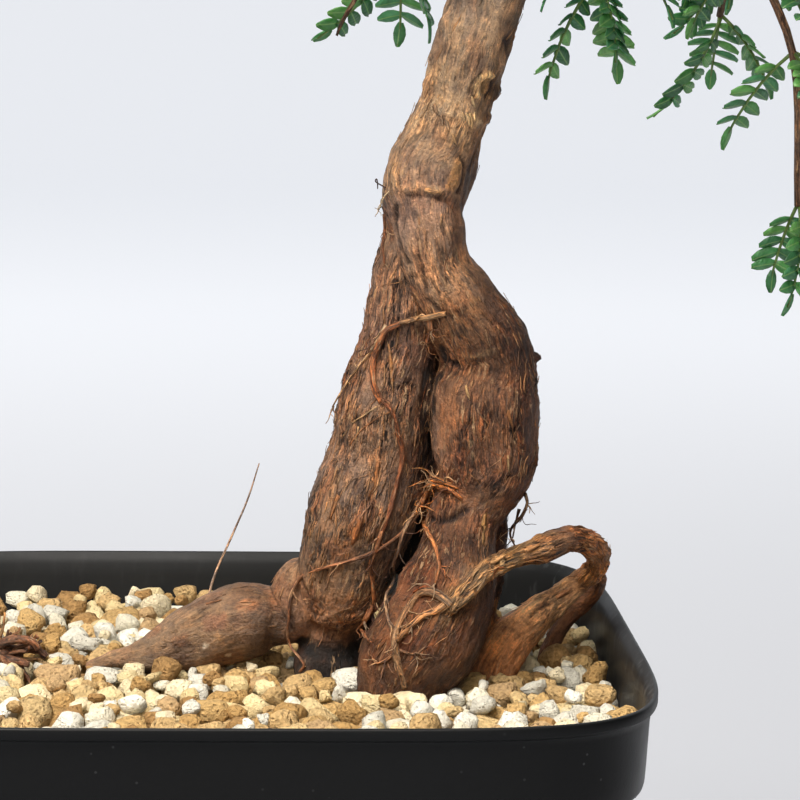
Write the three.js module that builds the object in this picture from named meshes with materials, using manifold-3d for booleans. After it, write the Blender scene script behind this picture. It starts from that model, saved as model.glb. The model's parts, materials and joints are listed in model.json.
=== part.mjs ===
// Operculicarya pachypus, a caudex bonsai, in a square black nursery pot filled with grit.
// Millimetres, +Z up. The origin is the middle of the pot's underside, and the pot's front faces -Y.
import * as THREE from "three";
import { mergeVertices } from "three/addons/utils/BufferGeometryUtils.js";
import Module from "manifold-3d";

const wasm = await Module();
wasm.setup();

// Pot: thin moulded plastic, nearly square, with a band under its rolled lip.
const POT_WIDTH = 120;
const POT_HEIGHT = 104;
const POT_BASE_WIDTH = 88;
const POT_WALL = 1.2;
const POT_FLOOR = 1.8;
const POT_SQUARENESS = 5.4;
const POT_SIDES = 40;
const BAND_HEIGHT = 15;
const BAND_STEP = 1.8;
const LIP_REACH = 1.1;
const LIP_HEIGHT = 1.8;
const EDGE = 0.5;
const DRAIN_RADIUS = 4;
const DRAIN_SPACING = 26;

// Soil: akadama and pumice grains, modelled as a relief of small peaks on one block.
const SOIL_LEVEL = 97;
const GRAIN_SPACING = 4.8;
const GRAIN_RISE = 1.6;
const GRAIN_SCATTER = 0.7;

// Everything that touches a neighbour keeps this gap to it.
const GAP = 0.35;

// Leaves: pinnate, three pairs of leaflets and one at the tip, cut to the rib in one thin blade.
const LEAF_LENGTH = 21;
const LEAF_PAIRS = 3;
const LEAF_THICKNESS = 0.65;
const LEAFLET_LENGTH = 5;
const LEAFLET_SLANT = 0.24;
const RIB_HALF_WIDTH = 0.45;
const STALK_SHARE = 0.15;
const TIP_SHARE = 0.25;
const LEAF_ARCH = 0.3;
const LEAF_FOLD = 0.14;
const TWIG_RADIUS = 0.95;
const TWIG_TIP_RADIUS = 0.6;
const TWIG_ZIGZAG = 2.2;
const GOLDEN_ANGLE = Math.PI * (3 - Math.sqrt(5));

// Bark: slow swellings and long flutes, as shares of a limb's radius.
const BARK_SWELL = 0.05;
const BARK_FLUTE = 0.045;

const MATERIALS = {
  pot: new THREE.MeshStandardMaterial({ color: 0x17181a, roughness: 0.5, metalness: 0 }),
  soil: new THREE.MeshStandardMaterial({ color: 0xc9a878, roughness: 0.95, metalness: 0 }),
  bark: new THREE.MeshStandardMaterial({ color: 0x6a4a38, roughness: 0.9, metalness: 0 }),
  dryRoot: new THREE.MeshStandardMaterial({ color: 0x5a3326, roughness: 0.9, metalness: 0 }),
  leaf: new THREE.MeshStandardMaterial({ color: 0x3f6b3a, roughness: 0.6, metalness: 0 }),
};

// Each limb is a list of stations along its middle: x, y, z and radius.
const TRUNK = [
  [28, 2, 160, 4], [28, 0, 168, 6], [28.3, 0, 172.1, 6.3], [29.7, 0, 176.7, 6], [31.8, 0, 181.8, 5.5],
  [33.7, 0, 188.4, 5.7], [36.2, 1, 197, 5.6], [38.1, 2, 203.5, 5.6], [39.6, 3, 211, 5.5], [40.2, 4, 219, 5.3],
  [39.2, 4, 226, 5], [37.6, 4, 232, 4.4],
];
const LEFT_LEG = [
  [28.1, 2, 171, 4.6], [26.4, 2, 163.4, 5], [24.8, 2, 156, 5.6], [24.3, 2, 147.1, 6.2], [22.7, 2, 138.2, 7.1],
  [21.5, 2, 130.7, 7.7], [20.3, 2, 123.2, 8.4], [19, 2, 115.7, 8.2], [16.9, 2, 108.9, 6.8], [15.2, 2, 104.6, 3.6],
];
const RIGHT_LEG = [
  [28.4, -1, 172, 4.4], [28.8, -2, 164.5, 5.2], [30.6, -2, 158.7, 5.5], [34.4, -2, 152.9, 6.6],
  [37.4, -2, 147, 6.9], [37.8, -2, 144.3, 6.6], [37.3, -2, 139.7, 7.8], [37.4, -2, 134.5, 7.8],
  [37.3, -2, 129.3, 7.3], [35.9, -2, 124.8, 5.9], [34.2, -3, 121.2, 5.1], [33.4, -4, 116.9, 5.6],
  [31.9, -6, 111.3, 7.2], [29.1, -8, 105.1, 7.9], [26.6, -8, 100.6, 7.6], [25.3, -8, 96, 6.5], [24.6, -7, 90, 4.2],
  [25, -6, 82, 2],
];
const KNOB = [[11.6, 4, 113, 2], [10.7, 4, 111.4, 3], [9.8, 4, 109, 3.4], [10.7, 4, 105.4, 3.6], [12, 4, 102.4, 2]];
const LEFT_TUBER = [
  [12, 4, 103.6, 2], [9.6, 4, 103.8, 3], [6.6, 5, 104.4, 4.8], [2.6, 5, 104.3, 5.7], [-1.9, 5, 102.8, 5.4],
  [-6.4, 5, 101, 4.8], [-10.8, 5, 99.3, 3.3], [-13.8, 5, 98.6, 2.2], [-17.2, 5, 98.2, 1.4], [-21, 5, 96.8, 0.9],
];
const DARK_BULB = [[16, 4, 106, 3], [15.3, 4, 101.6, 4], [15, 4, 98, 5.1], [14.8, 4, 93, 4.2], [14.4, 5, 84, 1.6]];
const RIGHT_TUBER = [
  [38, 0, 80, 1.4], [37.6, 0, 87, 2.8], [37.9, 1, 92.4, 3.6], [38.8, 1, 97, 3.7], [41, 3, 100.7, 3.9],
  [43.8, 5, 103, 3.3], [47, 7, 105.3, 2.6], [50.1, 8, 107.4, 2], [53, 8, 109.9, 1.7], [54.6, 6, 111.8, 1.7],
  [55.1, 3, 114.1, 1.6], [54.4, 0, 116.2, 1.8], [52.2, -3, 118.2, 1.9], [49.4, -5, 118.7, 1.9],
  [46.2, -7, 118, 2], [43.4, -8, 117.3, 1.7], [40.5, -9, 116.5, 1.6], [38.4, -10, 115.8, 1.4],
  [36.5, -11, 114.8, 1.3], [34, -12, 112.6, 1.2], [31.5, -12.6, 110, 1],
];
const BEHIND_ROOT = [
  [53.4, 7.4, 109.6, 1.1], [56.6, 12, 109, 1.4], [56.6, 16, 105.9, 1.8], [54.3, 18, 103, 2.2],
  [51.3, 18, 99.5, 2.3], [48.8, 17, 94, 1.9], [47, 16, 86, 1],
];
const BACK_ROOT = [
  [37, 3, 128, 1.6], [39.3, 6, 123.1, 1.8], [39.7, 6, 118, 2.1], [38.8, 5, 112.1, 2.4], [37.4, 4, 106.2, 2.7],
  [36, 3.4, 100.3, 2.7], [34, 4, 93, 2], [32, 6, 84, 1],
];
const INNER_ROOT = [
  [31.4, 2.5, 160, 2.4], [31, 4.4, 149, 3.1], [30.4, 5, 136, 3.4], [29.4, 5, 123, 3.5], [27, 5, 111, 2.6],
];
const SMALL_ROOTS = [
  [
    [32, -5.2, 152.6, 0.7], [28.6, -4.2, 151.6, 0.7], [25.8, -4.2, 151.4, 0.6], [22.6, -4, 149.2, 0.6],
    [20.8, -4.2, 144, 0.6], [21.2, -4.8, 140.6, 0.6], [23.8, -5.4, 136.5, 0.6], [24.6, -5.6, 130, 0.6],
    [23.4, -6, 126, 0.6], [21.2, -6.6, 119.6, 0.6], [20.4, -6.4, 115.6, 0.6], [21.1, -5.6, 111.6, 0.6],
    [20.4, -4.2, 107.6, 0.6],
  ],
  [
    [29.6, -4, 125.8, 0.8], [26.6, -4.2, 123.2, 0.6], [24, -5.6, 120, 0.6], [20, -6.6, 116.6, 0.6],
    [15.4, -5.6, 114.8, 0.55], [11.6, -1.2, 112.6, 0.5], [10, 0.6, 109, 0.5], [9.6, 0.8, 105.4, 0.5],
  ],
  [
    [33, -13, 111.4, 0.9], [29.4, -13.6, 112.2, 0.8], [26.8, -13.2, 111.4, 0.7], [25, -13.6, 109.2, 0.7],
    [24, -14.6, 106, 0.6], [24.2, -15.2, 103, 0.6], [24.4, -15, 100.4, 0.55],
  ],
];
const DRY_ROOT = [
  [-46, 2, 93.5, 2.2], [-42, 3, 97.4, 2.1], [-37, 4, 99, 2], [-33.4, 4.6, 99.4, 1.7], [-30.4, 4.8, 99.2, 0.8],
];
const DRY_ROOT_ENDS = [
  [[-36, 4, 99.4, 0.8], [-32, 3, 101.6, 0.7], [-28.8, 2.4, 101.4, 0.6], [-28, 2.2, 100.4, 0.5]],
  [[-36, 4, 99, 0.8], [-32, 5.4, 99.6, 0.7], [-28.4, 6.2, 99.4, 0.6], [-27, 6, 98.4, 0.5]],
  [[-36, 4, 98.6, 0.8], [-32, 2.6, 98.6, 0.7], [-29.4, 1.8, 98.2, 0.5]],
];

// Woody branches above the trunk, each zigzagging outwards.
const BRANCHES = [
  [
    [39, 2, 213, 3], [43, 10, 220, 3], [46, 19, 222, 2.7], [53, 26, 226, 2.5], [57, 34, 224, 2.2],
    [66, 39, 224, 2], [72, 46, 219, 1.6],
  ],
  [[39, 3, 218, 3], [48, 2, 225, 2.9], [56, 5, 227, 2.6], [64, 3, 233, 2.4], [73, 7, 234, 2.1], [81, 5, 238, 1.6]],
  [[38, 4, 222, 3], [32, 12, 230, 2.8], [31, 20, 230, 2.5], [23, 27, 235, 2.3], [22, 35, 232, 2], [14, 41, 232, 1.6]],
  [[38, 4, 225, 3], [29, 0, 233, 2.8], [21, 2, 234, 2.5], [13, -3, 239, 2.3], [4, -2, 239, 2], [-4, -7, 242, 1.6]],
  [[40, 3, 219, 3], [44, -6, 227, 2.7], [52, -11, 229, 2.4], [55, -20, 234, 2.1], [63, -25, 235, 1.6]],
  [[38, 4, 229, 3.4], [34, 8, 240, 3], [38, 5, 249, 2.7], [35, 0, 258, 2.4], [39, -3, 267, 1.8]],
];

// Leafy stems: where each leaves its branch, where its stub of old wood ends, where its tip hangs, its arch and leaves.
const SPRAYS = [
  { name: "spray_back_hanging", root: [57, 34, 224], from: [56, 38, 220], tip: [57, 40, 199], arch: 3, leaves: 4 },
  { name: "spray_back_low", root: [72, 46, 219], from: [74, 50, 215], tip: [80, 63, 193], arch: 5, leaves: 4 },
  { name: "spray_back_long", root: [71, 44, 220], from: [77, 44, 219], tip: [92, 52, 163], arch: 14, leaves: 4 },
  { name: "spray_right_upper", root: [73, 7, 234], from: [75, 11, 235], tip: [98, 22, 220], arch: 6, leaves: 4 },
  { name: "spray_right_tip", root: [80, 5, 238], from: [86, 3, 239], tip: [110, -6, 226], arch: 6, leaves: 4 },
  { name: "spray_left_hanging", root: [22, 35, 232], from: [24, 40, 228], tip: [26, 46, 203], arch: 3, leaves: 4 },
  { name: "spray_left_back", root: [15, 40, 232], from: [10, 44, 231], tip: [-10, 54, 217], arch: 6, leaves: 4 },
  { name: "spray_left_upper", root: [4, -2, 239], from: [1, 3, 239], tip: [-20, 16, 228], arch: 6, leaves: 4 },
  { name: "spray_left_tip", root: [-3, -7, 242], from: [-9, -9, 242], tip: [-34, -16, 229], arch: 6, leaves: 4 },
  { name: "spray_left_front", root: [13, -3, 239], from: [12, -8, 240], tip: [4, -33, 232], arch: 4, leaves: 4 },
  { name: "spray_front_left", root: [55, -20, 234], from: [50, -24, 236], tip: [38, -46, 229], arch: 5, leaves: 4 },
  { name: "spray_front_right", root: [62, -25, 235], from: [68, -27, 236], tip: [90, -40, 224], arch: 6, leaves: 4 },
  { name: "spray_top_left", root: [35, 0, 258], from: [30, -1, 261], tip: [8, -8, 266], arch: 4, leaves: 4 },
  { name: "spray_top_right", root: [38, 5, 249], from: [43, 8, 252], tip: [63, 20, 258], arch: 5, leaves: 4 },
  { name: "spray_top_front", root: [39, -3, 266], from: [43, -5, 270], tip: [60, -16, 276], arch: 5, leaves: 4 },
  { name: "spray_top", root: [39, -3, 266], from: [37, 1, 272], tip: [28, 12, 288], arch: 4, leaves: 4 },
];

// A closed geometry as a solid that can be joined and cut.
function solidOf(geometry) {
  const bare = geometry.clone();
  bare.deleteAttribute("normal");
  bare.deleteAttribute("uv");
  const merged = mergeVertices(bare, 1e-4);
  const corners = merged.index.array;
  const kept = [];
  for (let i = 0; i < corners.length; i += 3) {
    const [a, b, c] = [corners[i], corners[i + 1], corners[i + 2]];
    if (a !== b && b !== c && c !== a) kept.push(a, b, c);
  }
  return new wasm.Manifold(
    new wasm.Mesh({
      numProp: 3,
      vertProperties: new Float32Array(merged.attributes.position.array),
      triVerts: new Uint32Array(kept),
    }),
  );
}

// A solid back as a geometry that a mesh can show.
function geometryOf(solid) {
  const mesh = solid.getMesh();
  const geometry = new THREE.BufferGeometry();
  geometry.setAttribute("position", new THREE.BufferAttribute(mesh.vertProperties, 3));
  geometry.setIndex(new THREE.BufferAttribute(mesh.triVerts, 1));
  geometry.computeVertexNormals();
  return geometry;
}

// The largest body of a solid: scraps that a cut leaves loose are dropped.
function largestBody(solid) {
  const bodies = solid.decompose();
  return bodies.reduce((best, body) => (body.volume() > best.volume() ? body : best));
}

function joined(solids) {
  return solids.reduce((sum, solid) => sum.add(solid));
}

function point([x, y, z]) {
  return new THREE.Vector3(x, y, z);
}

// A repeatable scatter between -1 and 1 for a pair of counters.
function scatter(i, j, channel) {
  const wave = Math.sin(i * 12.9898 + j * 78.233 + channel * 37.719) * 43758.5453;
  return 2 * (wave - Math.floor(wave)) - 1;
}

// The bark's swellings and flutes at an angle round a limb, as a factor on its radius there.
function barkRelief(angle, place) {
  const swell = Math.sin(0.42 * place.z + 0.31 * place.x + 1.1) * Math.sin(2 * angle + 0.17 * place.z);
  const flute = Math.sin(5 * angle + 0.21 * place.z) * Math.cos(0.13 * place.z + 0.4 * place.y);
  return 1 + BARK_SWELL * swell + BARK_FLUTE * flute;
}

// A limb through its stations, with each stretch between two of them cut into equal steps.
// Spare swells it all over, for the hole that it stands in.
function limb(stations, sides, cuts, spare = 0, relief = barkRelief) {
  const middle = new THREE.CatmullRomCurve3(stations.map(point));
  const steps = cuts * (stations.length - 1);
  const rings = [];
  const across = new THREE.Vector3(0.3, -1, 0.2);
  for (let step = 0; step <= steps; step += 1) {
    const along = middle.getTangent(step / steps);
    across.addScaledVector(along, -across.dot(along)).normalize();
    const third = new THREE.Vector3().crossVectors(along, across);
    const before = Math.min(Math.floor(step / cuts), stations.length - 2);
    const radius = THREE.MathUtils.lerp(stations[before][3], stations[before + 1][3], step / cuts - before);
    const place = middle.getPoint(step / steps);
    if (step === 0) place.addScaledVector(along, -spare);
    if (step === steps) place.addScaledVector(along, spare);
    rings.push({ place, radius, across: across.clone(), third });
  }
  const shape = new THREE.CylinderGeometry(1, 1, 1, sides, steps);
  const corners = shape.attributes.position;
  for (let i = 0; i < corners.count; i += 1) {
    const [x, y, z] = [corners.getX(i), corners.getY(i), corners.getZ(i)];
    const ring = rings[Math.round((y + 0.5) * steps)];
    const reach = ring.radius * relief(Math.atan2(z, x), ring.place) + spare;
    const corner = ring.place.clone().addScaledVector(ring.third, x * reach).addScaledVector(ring.across, z * reach);
    corners.setXYZ(i, corner.x, corner.y, corner.z);
  }
  return solidOf(shape);
}

function smooth() {
  return 1;
}

// A profile of half-widths and heights turned about +Z, with its circle pressed into the pot's rounded square.
function squaredLathe(profile) {
  const turned = new THREE.LatheGeometry(
    profile.map(([halfWidth, height]) => new THREE.Vector2(halfWidth, height)),
    POT_SIDES,
  );
  turned.rotateX(Math.PI / 2);
  const corners = turned.attributes.position;
  const press = (share) => Math.sign(share) * Math.abs(share) ** (2 / POT_SQUARENESS);
  for (let i = 0; i < corners.count; i += 1) {
    const [x, y] = [corners.getX(i), corners.getY(i)];
    const halfWidth = Math.hypot(x, y);
    if (halfWidth < EDGE) {
      corners.setXYZ(i, 0, 0, corners.getZ(i));
      continue;
    }
    corners.setX(i, halfWidth * press(x / halfWidth));
    corners.setY(i, halfWidth * press(y / halfWidth));
  }
  return solidOf(turned);
}

const BAND_BOTTOM = POT_HEIGHT - BAND_HEIGHT;
const BODY_TOP = BAND_BOTTOM - EDGE * 2;
const BAND_HALF = POT_WIDTH / 2 - LIP_REACH;
const BODY_HALF = BAND_HALF - EDGE - BAND_STEP;
const BASE_HALF = POT_BASE_WIDTH / 2;
const LIP_HALF = POT_WIDTH / 2;

function makePot() {
  const shell = squaredLathe([
    [0, 0],
    [BASE_HALF - 2 * EDGE, 0],
    [BASE_HALF, 2 * EDGE],
    [BODY_HALF, BODY_TOP],
    [BAND_HALF - EDGE, BAND_BOTTOM],
    [BAND_HALF, POT_HEIGHT - LIP_HEIGHT - EDGE],
    [LIP_HALF, POT_HEIGHT - LIP_HEIGHT],
    [LIP_HALF, POT_HEIGHT - EDGE],
    [LIP_HALF - EDGE, POT_HEIGHT],
    [BAND_HALF - POT_WALL + EDGE, POT_HEIGHT],
    [BAND_HALF - POT_WALL, POT_HEIGHT - EDGE],
    [BAND_HALF - EDGE - POT_WALL, BAND_BOTTOM + EDGE],
    [BODY_HALF - POT_WALL, BODY_TOP + EDGE],
    [BASE_HALF - POT_WALL, POT_FLOOR],
    [0, POT_FLOOR],
  ]);
  const drains = [];
  for (const column of [-1, 0, 1]) {
    for (const row of [-1, 0, 1]) {
      if (column === 0 && row === 0) continue;
      const drain = new THREE.CylinderGeometry(DRAIN_RADIUS, DRAIN_RADIUS, 4 * POT_FLOOR, 8);
      drain.rotateX(Math.PI / 2);
      drain.translate(column * DRAIN_SPACING, row * DRAIN_SPACING, 0);
      drains.push(solidOf(drain));
    }
  }
  return shell.subtract(joined(drains));
}

// The soil block: the pot's inside, cut off by a sheet of grain peaks, with a hole for each limb that stands in it.
function makeSoil(holes) {
  const inside = squaredLathe([
    [0, POT_FLOOR + GAP],
    [BASE_HALF - POT_WALL - GAP, POT_FLOOR + GAP],
    [BODY_HALF - POT_WALL - GAP, BODY_TOP + EDGE],
    [BAND_HALF - EDGE - POT_WALL - GAP, BAND_BOTTOM + 2 * EDGE],
    [BAND_HALF - POT_WALL - GAP, POT_HEIGHT],
    [0, POT_HEIGHT],
  ]);
  const rowSpacing = (GRAIN_SPACING * Math.sqrt(3)) / 2;
  const rows = 2 * Math.ceil(POT_WIDTH / 2 / rowSpacing) + 2;
  const columns = Math.ceil(POT_WIDTH / GRAIN_SPACING) + Math.ceil(rows / 2) + 2;
  const bed = new THREE.BoxGeometry(columns * GRAIN_SPACING, rows * rowSpacing, SOIL_LEVEL, columns, rows, 1);
  const corners = bed.attributes.position;
  for (let i = 0; i < corners.count; i += 1) {
    const [x, y, z] = [corners.getX(i), corners.getY(i), corners.getZ(i)];
    const row = Math.round(y / rowSpacing + rows / 2);
    const column = Math.round(x / GRAIN_SPACING + columns / 2);
    const slantedX = x - y / Math.sqrt(3);
    if (z < 0) {
      corners.setXYZ(i, slantedX, y, 0);
      continue;
    }
    const peak = (column + row) % 3 === 0;
    const height = (peak ? GRAIN_RISE : -GRAIN_RISE / 3) + 0.5 * GRAIN_SCATTER * scatter(column, row, 1);
    const stray = peak ? GRAIN_SCATTER : 0.5 * GRAIN_SCATTER;
    corners.setXYZ(
      i,
      slantedX + stray * scatter(column, row, 2),
      y + stray * scatter(column, row, 3),
      SOIL_LEVEL + height,
    );
  }
  return largestBody(solidOf(bed).intersect(inside).subtract(joined(holes)));
}

// One pinnate leaf as a flat outline, rib along +X: half of the outline first, then its mirror image.
function leafOutline(length) {
  const stalk = STALK_SHARE * length;
  const tip = TIP_SHARE * length;
  const pitch = (length - stalk - tip) / LEAF_PAIRS;
  const half = [[0, RIB_HALF_WIDTH]];
  for (let pair = 0; pair < LEAF_PAIRS; pair += 1) {
    const foot = stalk + pair * pitch;
    const reach = LEAFLET_LENGTH * (1 - 0.12 * Math.abs(pair - 1));
    const slant = LEAFLET_SLANT * pitch;
    half.push([foot, RIB_HALF_WIDTH]);
    half.push([foot + slant, 0.85 * reach]);
    half.push([foot + slant + 0.62 * pitch, reach]);
  }
  const head = length - tip;
  half.push([head, RIB_HALF_WIDTH]);
  half.push([head + 0.35 * tip, 0.42 * LEAFLET_LENGTH]);
  const mirrored = half.map(([x, y]) => [x, -y]).reverse();
  return [...mirrored.slice(0, -1), [0, -RIB_HALF_WIDTH], ...half, [length, 0]];
}

// A leaf standing on a twig at place, pointing along heading, arched down towards its tip.
function leafAt(place, heading, length) {
  const outline = leafOutline(length).map(([x, y]) => new THREE.Vector2(x, y));
  const blade = new THREE.ExtrudeGeometry(new THREE.Shape(outline), {
    depth: LEAF_THICKNESS,
    steps: 1,
    bevelEnabled: false,
  });
  const corners = blade.attributes.position;
  for (let i = 0; i < corners.count; i += 1) {
    const share = corners.getX(i) / length;
    const droop = LEAF_ARCH * length * share * share;
    const fold = LEAF_FOLD * Math.abs(corners.getY(i));
    corners.setZ(i, corners.getZ(i) - droop + fold);
  }
  const forward = heading.clone().normalize();
  const up = new THREE.Vector3(0.15, 0.1, 1);
  if (Math.abs(forward.dot(up)) > 0.9) up.set(0.8, -0.6, 0.2);
  up.addScaledVector(forward, -up.dot(forward)).normalize();
  const across = new THREE.Vector3().crossVectors(up, forward);
  blade.applyMatrix4(new THREE.Matrix4().makeBasis(forward, across, up).setPosition(place));
  return solidOf(blade);
}

// A leafy stem: a thin zigzag twig that arches from its stub to its tip, with a leaf at each bend.
function makeSpray({ from, root, tip, arch, leaves }) {
  const start = point(from);
  const outward = start.clone().sub(point(root)).normalize();
  start.addScaledVector(outward, GAP);
  const end = point(tip);
  const run = end.clone().sub(start);
  const side = new THREE.Vector3().crossVectors(run, new THREE.Vector3(0.2, 0.3, 1)).normalize();
  const stations = [[start.x, start.y, start.z, TWIG_RADIUS]];
  stations.push([...start.clone().addScaledVector(outward, 2).toArray(), TWIG_RADIUS]);
  for (let bend = 1; bend <= leaves; bend += 1) {
    const share = bend / leaves;
    const place = start.clone().addScaledVector(run, share);
    place.addScaledVector(side, bend < leaves ? TWIG_ZIGZAG * (bend % 2 ? 1 : -1) : 0);
    place.z += arch * 4 * share * (1 - share);
    stations.push([...place.toArray(), THREE.MathUtils.lerp(TWIG_RADIUS, TWIG_TIP_RADIUS, share)]);
  }
  const pieces = [limb(stations, 4, 1, 0, smooth)];
  const forward = run.clone().normalize();
  const third = new THREE.Vector3().crossVectors(forward, side);
  for (let bend = 1; bend <= leaves; bend += 1) {
    const angle = bend * GOLDEN_ANGLE + start.x;
    const heading = forward.clone().multiplyScalar(bend < leaves ? 0.55 : 1.2);
    heading.addScaledVector(side, Math.cos(angle)).addScaledVector(third, Math.sin(angle) * 0.7);
    const foot = point(stations[bend + 1]);
    const length = LEAF_LENGTH * (1 + 0.12 * scatter(bend, start.x, 4));
    pieces.push(leafAt(foot, heading, length));
  }
  return joined(pieces);
}

function makeWood() {
  const stubs = SPRAYS.map(({ root, from }) => {
    const middle = root.map((value, axis) => (value + from[axis]) / 2);
    return limb([[...root, 1.5], [...middle, 1.4], [...from, 1.2]], 6, 1, 0, smooth);
  });
  return joined([
    limb(TRUNK, 12, 1),
    limb(LEFT_LEG, 14, 1),
    limb(RIGHT_LEG, 14, 1),
    limb(KNOB, 8, 1),
    limb(LEFT_TUBER, 12, 1),
    limb(DARK_BULB, 8, 1),
    limb(RIGHT_TUBER, 8, 1),
    limb(BEHIND_ROOT, 6, 1),
    limb(BACK_ROOT, 8, 1),
    limb(INNER_ROOT, 6, 1),
    ...SMALL_ROOTS.map((root) => limb(root, 4, 1, 0, smooth)),
    ...BRANCHES.map((branch) => limb(branch, 7, 1)),
    ...stubs,
  ]);
}

function makeDryRoot(spare = 0) {
  return joined([
    limb(DRY_ROOT, 7, 1, spare),
    ...DRY_ROOT_ENDS.map((end) => limb(end, 5, 1, spare, smooth)),
  ]);
}

// The limbs that stand in the soil, each swollen by the gap, with the same faces as in the wood.
function makeHoles() {
  return [
    limb(RIGHT_LEG, 14, 1, GAP),
    limb(LEFT_TUBER, 12, 1, GAP),
    limb(DARK_BULB, 8, 1, GAP),
    limb(RIGHT_TUBER, 8, 1, GAP),
    limb(BEHIND_ROOT, 6, 1, GAP),
    limb(BACK_ROOT, 8, 1, GAP),
    makeDryRoot(GAP),
  ];
}

function addPiece(group, name, solid, material) {
  const mesh = new THREE.Mesh(geometryOf(solid), material);
  mesh.name = name;
  group.add(mesh);
}

const bonsai = new THREE.Group();
bonsai.name = "bonsai";
addPiece(bonsai, "pot", makePot(), MATERIALS.pot);
addPiece(bonsai, "soil", makeSoil(makeHoles()), MATERIALS.soil);
addPiece(bonsai, "wood", makeWood(), MATERIALS.bark);
addPiece(bonsai, "dry_root", makeDryRoot(), MATERIALS.dryRoot);
for (const spray of SPRAYS) addPiece(bonsai, spray.name, makeSpray(spray), MATERIALS.leaf);

export default bonsai;
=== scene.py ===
"""Operculicarya pachypus, a caudex bonsai in a square nursery pot of grit: its finished looks.

The classes work in millimetres and their meshes are in metres. +Z is up, and the pot's front faces -Y.
"""

import json
import logging
import math
import random
from collections.abc import Callable, Iterable, Sequence
from dataclasses import dataclass, field
from enum import Enum
from typing import Any

import bmesh
import bpy
import numpy as np
from bmesh.types import BMEdge, BMesh, BMVert
from bpy.types import Material, Mesh, Node, NodeTree, Object
from mathutils import Matrix, Vector, noise
from mathutils.bvhtree import BVHTree

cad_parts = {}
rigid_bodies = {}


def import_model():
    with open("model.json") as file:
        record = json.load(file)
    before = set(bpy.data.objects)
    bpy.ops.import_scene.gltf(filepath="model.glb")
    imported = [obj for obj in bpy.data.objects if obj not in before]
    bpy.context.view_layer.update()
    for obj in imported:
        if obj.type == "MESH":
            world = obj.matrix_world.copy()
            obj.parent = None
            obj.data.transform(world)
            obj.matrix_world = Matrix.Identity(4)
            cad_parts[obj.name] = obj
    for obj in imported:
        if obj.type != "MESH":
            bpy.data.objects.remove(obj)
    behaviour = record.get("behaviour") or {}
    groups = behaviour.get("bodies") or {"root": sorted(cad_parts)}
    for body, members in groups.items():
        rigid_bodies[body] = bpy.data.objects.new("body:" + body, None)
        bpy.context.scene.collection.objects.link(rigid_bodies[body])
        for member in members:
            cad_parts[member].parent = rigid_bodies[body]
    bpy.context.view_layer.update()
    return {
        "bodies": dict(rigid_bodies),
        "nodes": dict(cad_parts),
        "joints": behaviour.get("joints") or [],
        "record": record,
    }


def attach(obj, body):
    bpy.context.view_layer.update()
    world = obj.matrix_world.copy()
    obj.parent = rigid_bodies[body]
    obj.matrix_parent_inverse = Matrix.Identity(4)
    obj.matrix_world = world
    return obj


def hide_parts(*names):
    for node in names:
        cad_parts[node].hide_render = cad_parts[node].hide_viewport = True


LOG = logging.getLogger("bonsai")
MM = 0.001
PHOTO_PIXELS = 800
THINNEST = 0.02

Station = tuple[float, float, float, float]
Pixel = tuple[float, float]
Pattern = tuple[tuple[float, float, float], float]

# The limbs follow the solids' stations to within 2.5 mm: x, y, z and radius.
TRUNK: list[Station] = [
    (28, 2, 160, 4), (28, 0, 168, 6), (28.5, 0, 172.1, 6.1), (30.3, 0, 176.7, 5.4), (32.2, 0, 181.8, 5.1),
    (34, 0, 188.4, 5.4), (36.5, 1, 197, 5.4), (38.1, 2, 203.5, 5.6), (39.6, 3, 211, 5.5),
    (40.2, 4, 219, 5.3), (39.2, 4, 226, 5), (37.6, 4, 232, 4.4),
]
LEFT_LEG: list[Station] = [
    (28.1, 2, 171, 4.6), (27, 2, 163.4, 4.4), (25.5, 2, 156, 4.8), (24.8, 2, 147.1, 5.6),
    (22.9, 2, 138.2, 6.9), (22, 2, 130.7, 7.1), (20.3, 2, 123.2, 8), (18.2, 2, 115.7, 7.3),
    (16.4, 2, 108.9, 6.3), (15, 2, 104.6, 3.5),
]
RIGHT_LEG: list[Station] = [
    (28.4, -1, 172, 4.4), (28.7, -2, 164.5, 5.1), (30.1, -2, 158.7, 4.9), (33.5, -2, 152.9, 5.9),
    (36.8, -2, 147, 6.6), (37.8, -2, 144.3, 6.6), (37.3, -2, 139.7, 7.8), (37.4, -2, 134.5, 7.8),
    (37.3, -2, 129.3, 7.3), (35.9, -2, 124.8, 5.9), (34.2, -3, 121.2, 5.1), (33.4, -4, 116.9, 5.6),
    (31.9, -6, 111.3, 7.2), (29.1, -8, 105.1, 7.9), (26.6, -8, 100.6, 7.6), (25.3, -8, 96, 6.5),
    (24.6, -7, 90, 4.2), (25, -6, 82, 2),
]
KNOB: list[Station] = [
    (11.6, 4, 113, 2), (10.7, 4, 111.4, 3), (9.8, 4, 109, 3.4), (10.7, 4, 105.4, 3.6), (12, 4, 102.4, 2)
]
LEFT_TUBER: list[Station] = [
    (12, 4, 103.6, 2), (9.6, 4, 103.8, 3), (6.6, 5, 104.4, 4.8), (2.6, 5, 104.3, 5.7),
    (-1.9, 5, 102.8, 5.4), (-6.4, 5, 101, 4.8), (-10.8, 5, 99.3, 3.3), (-13.8, 5, 98.6, 2.2),
    (-17.2, 5, 98.2, 1.4), (-21, 5, 96.8, 0.9),
]
DARK_BULB: list[Station] = [
    (16, 4, 106, 3), (15.3, 4, 101.6, 4), (15, 4, 98, 5.1), (14.8, 4, 93, 4.2), (14.4, 5, 84, 1.6)
]
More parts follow.
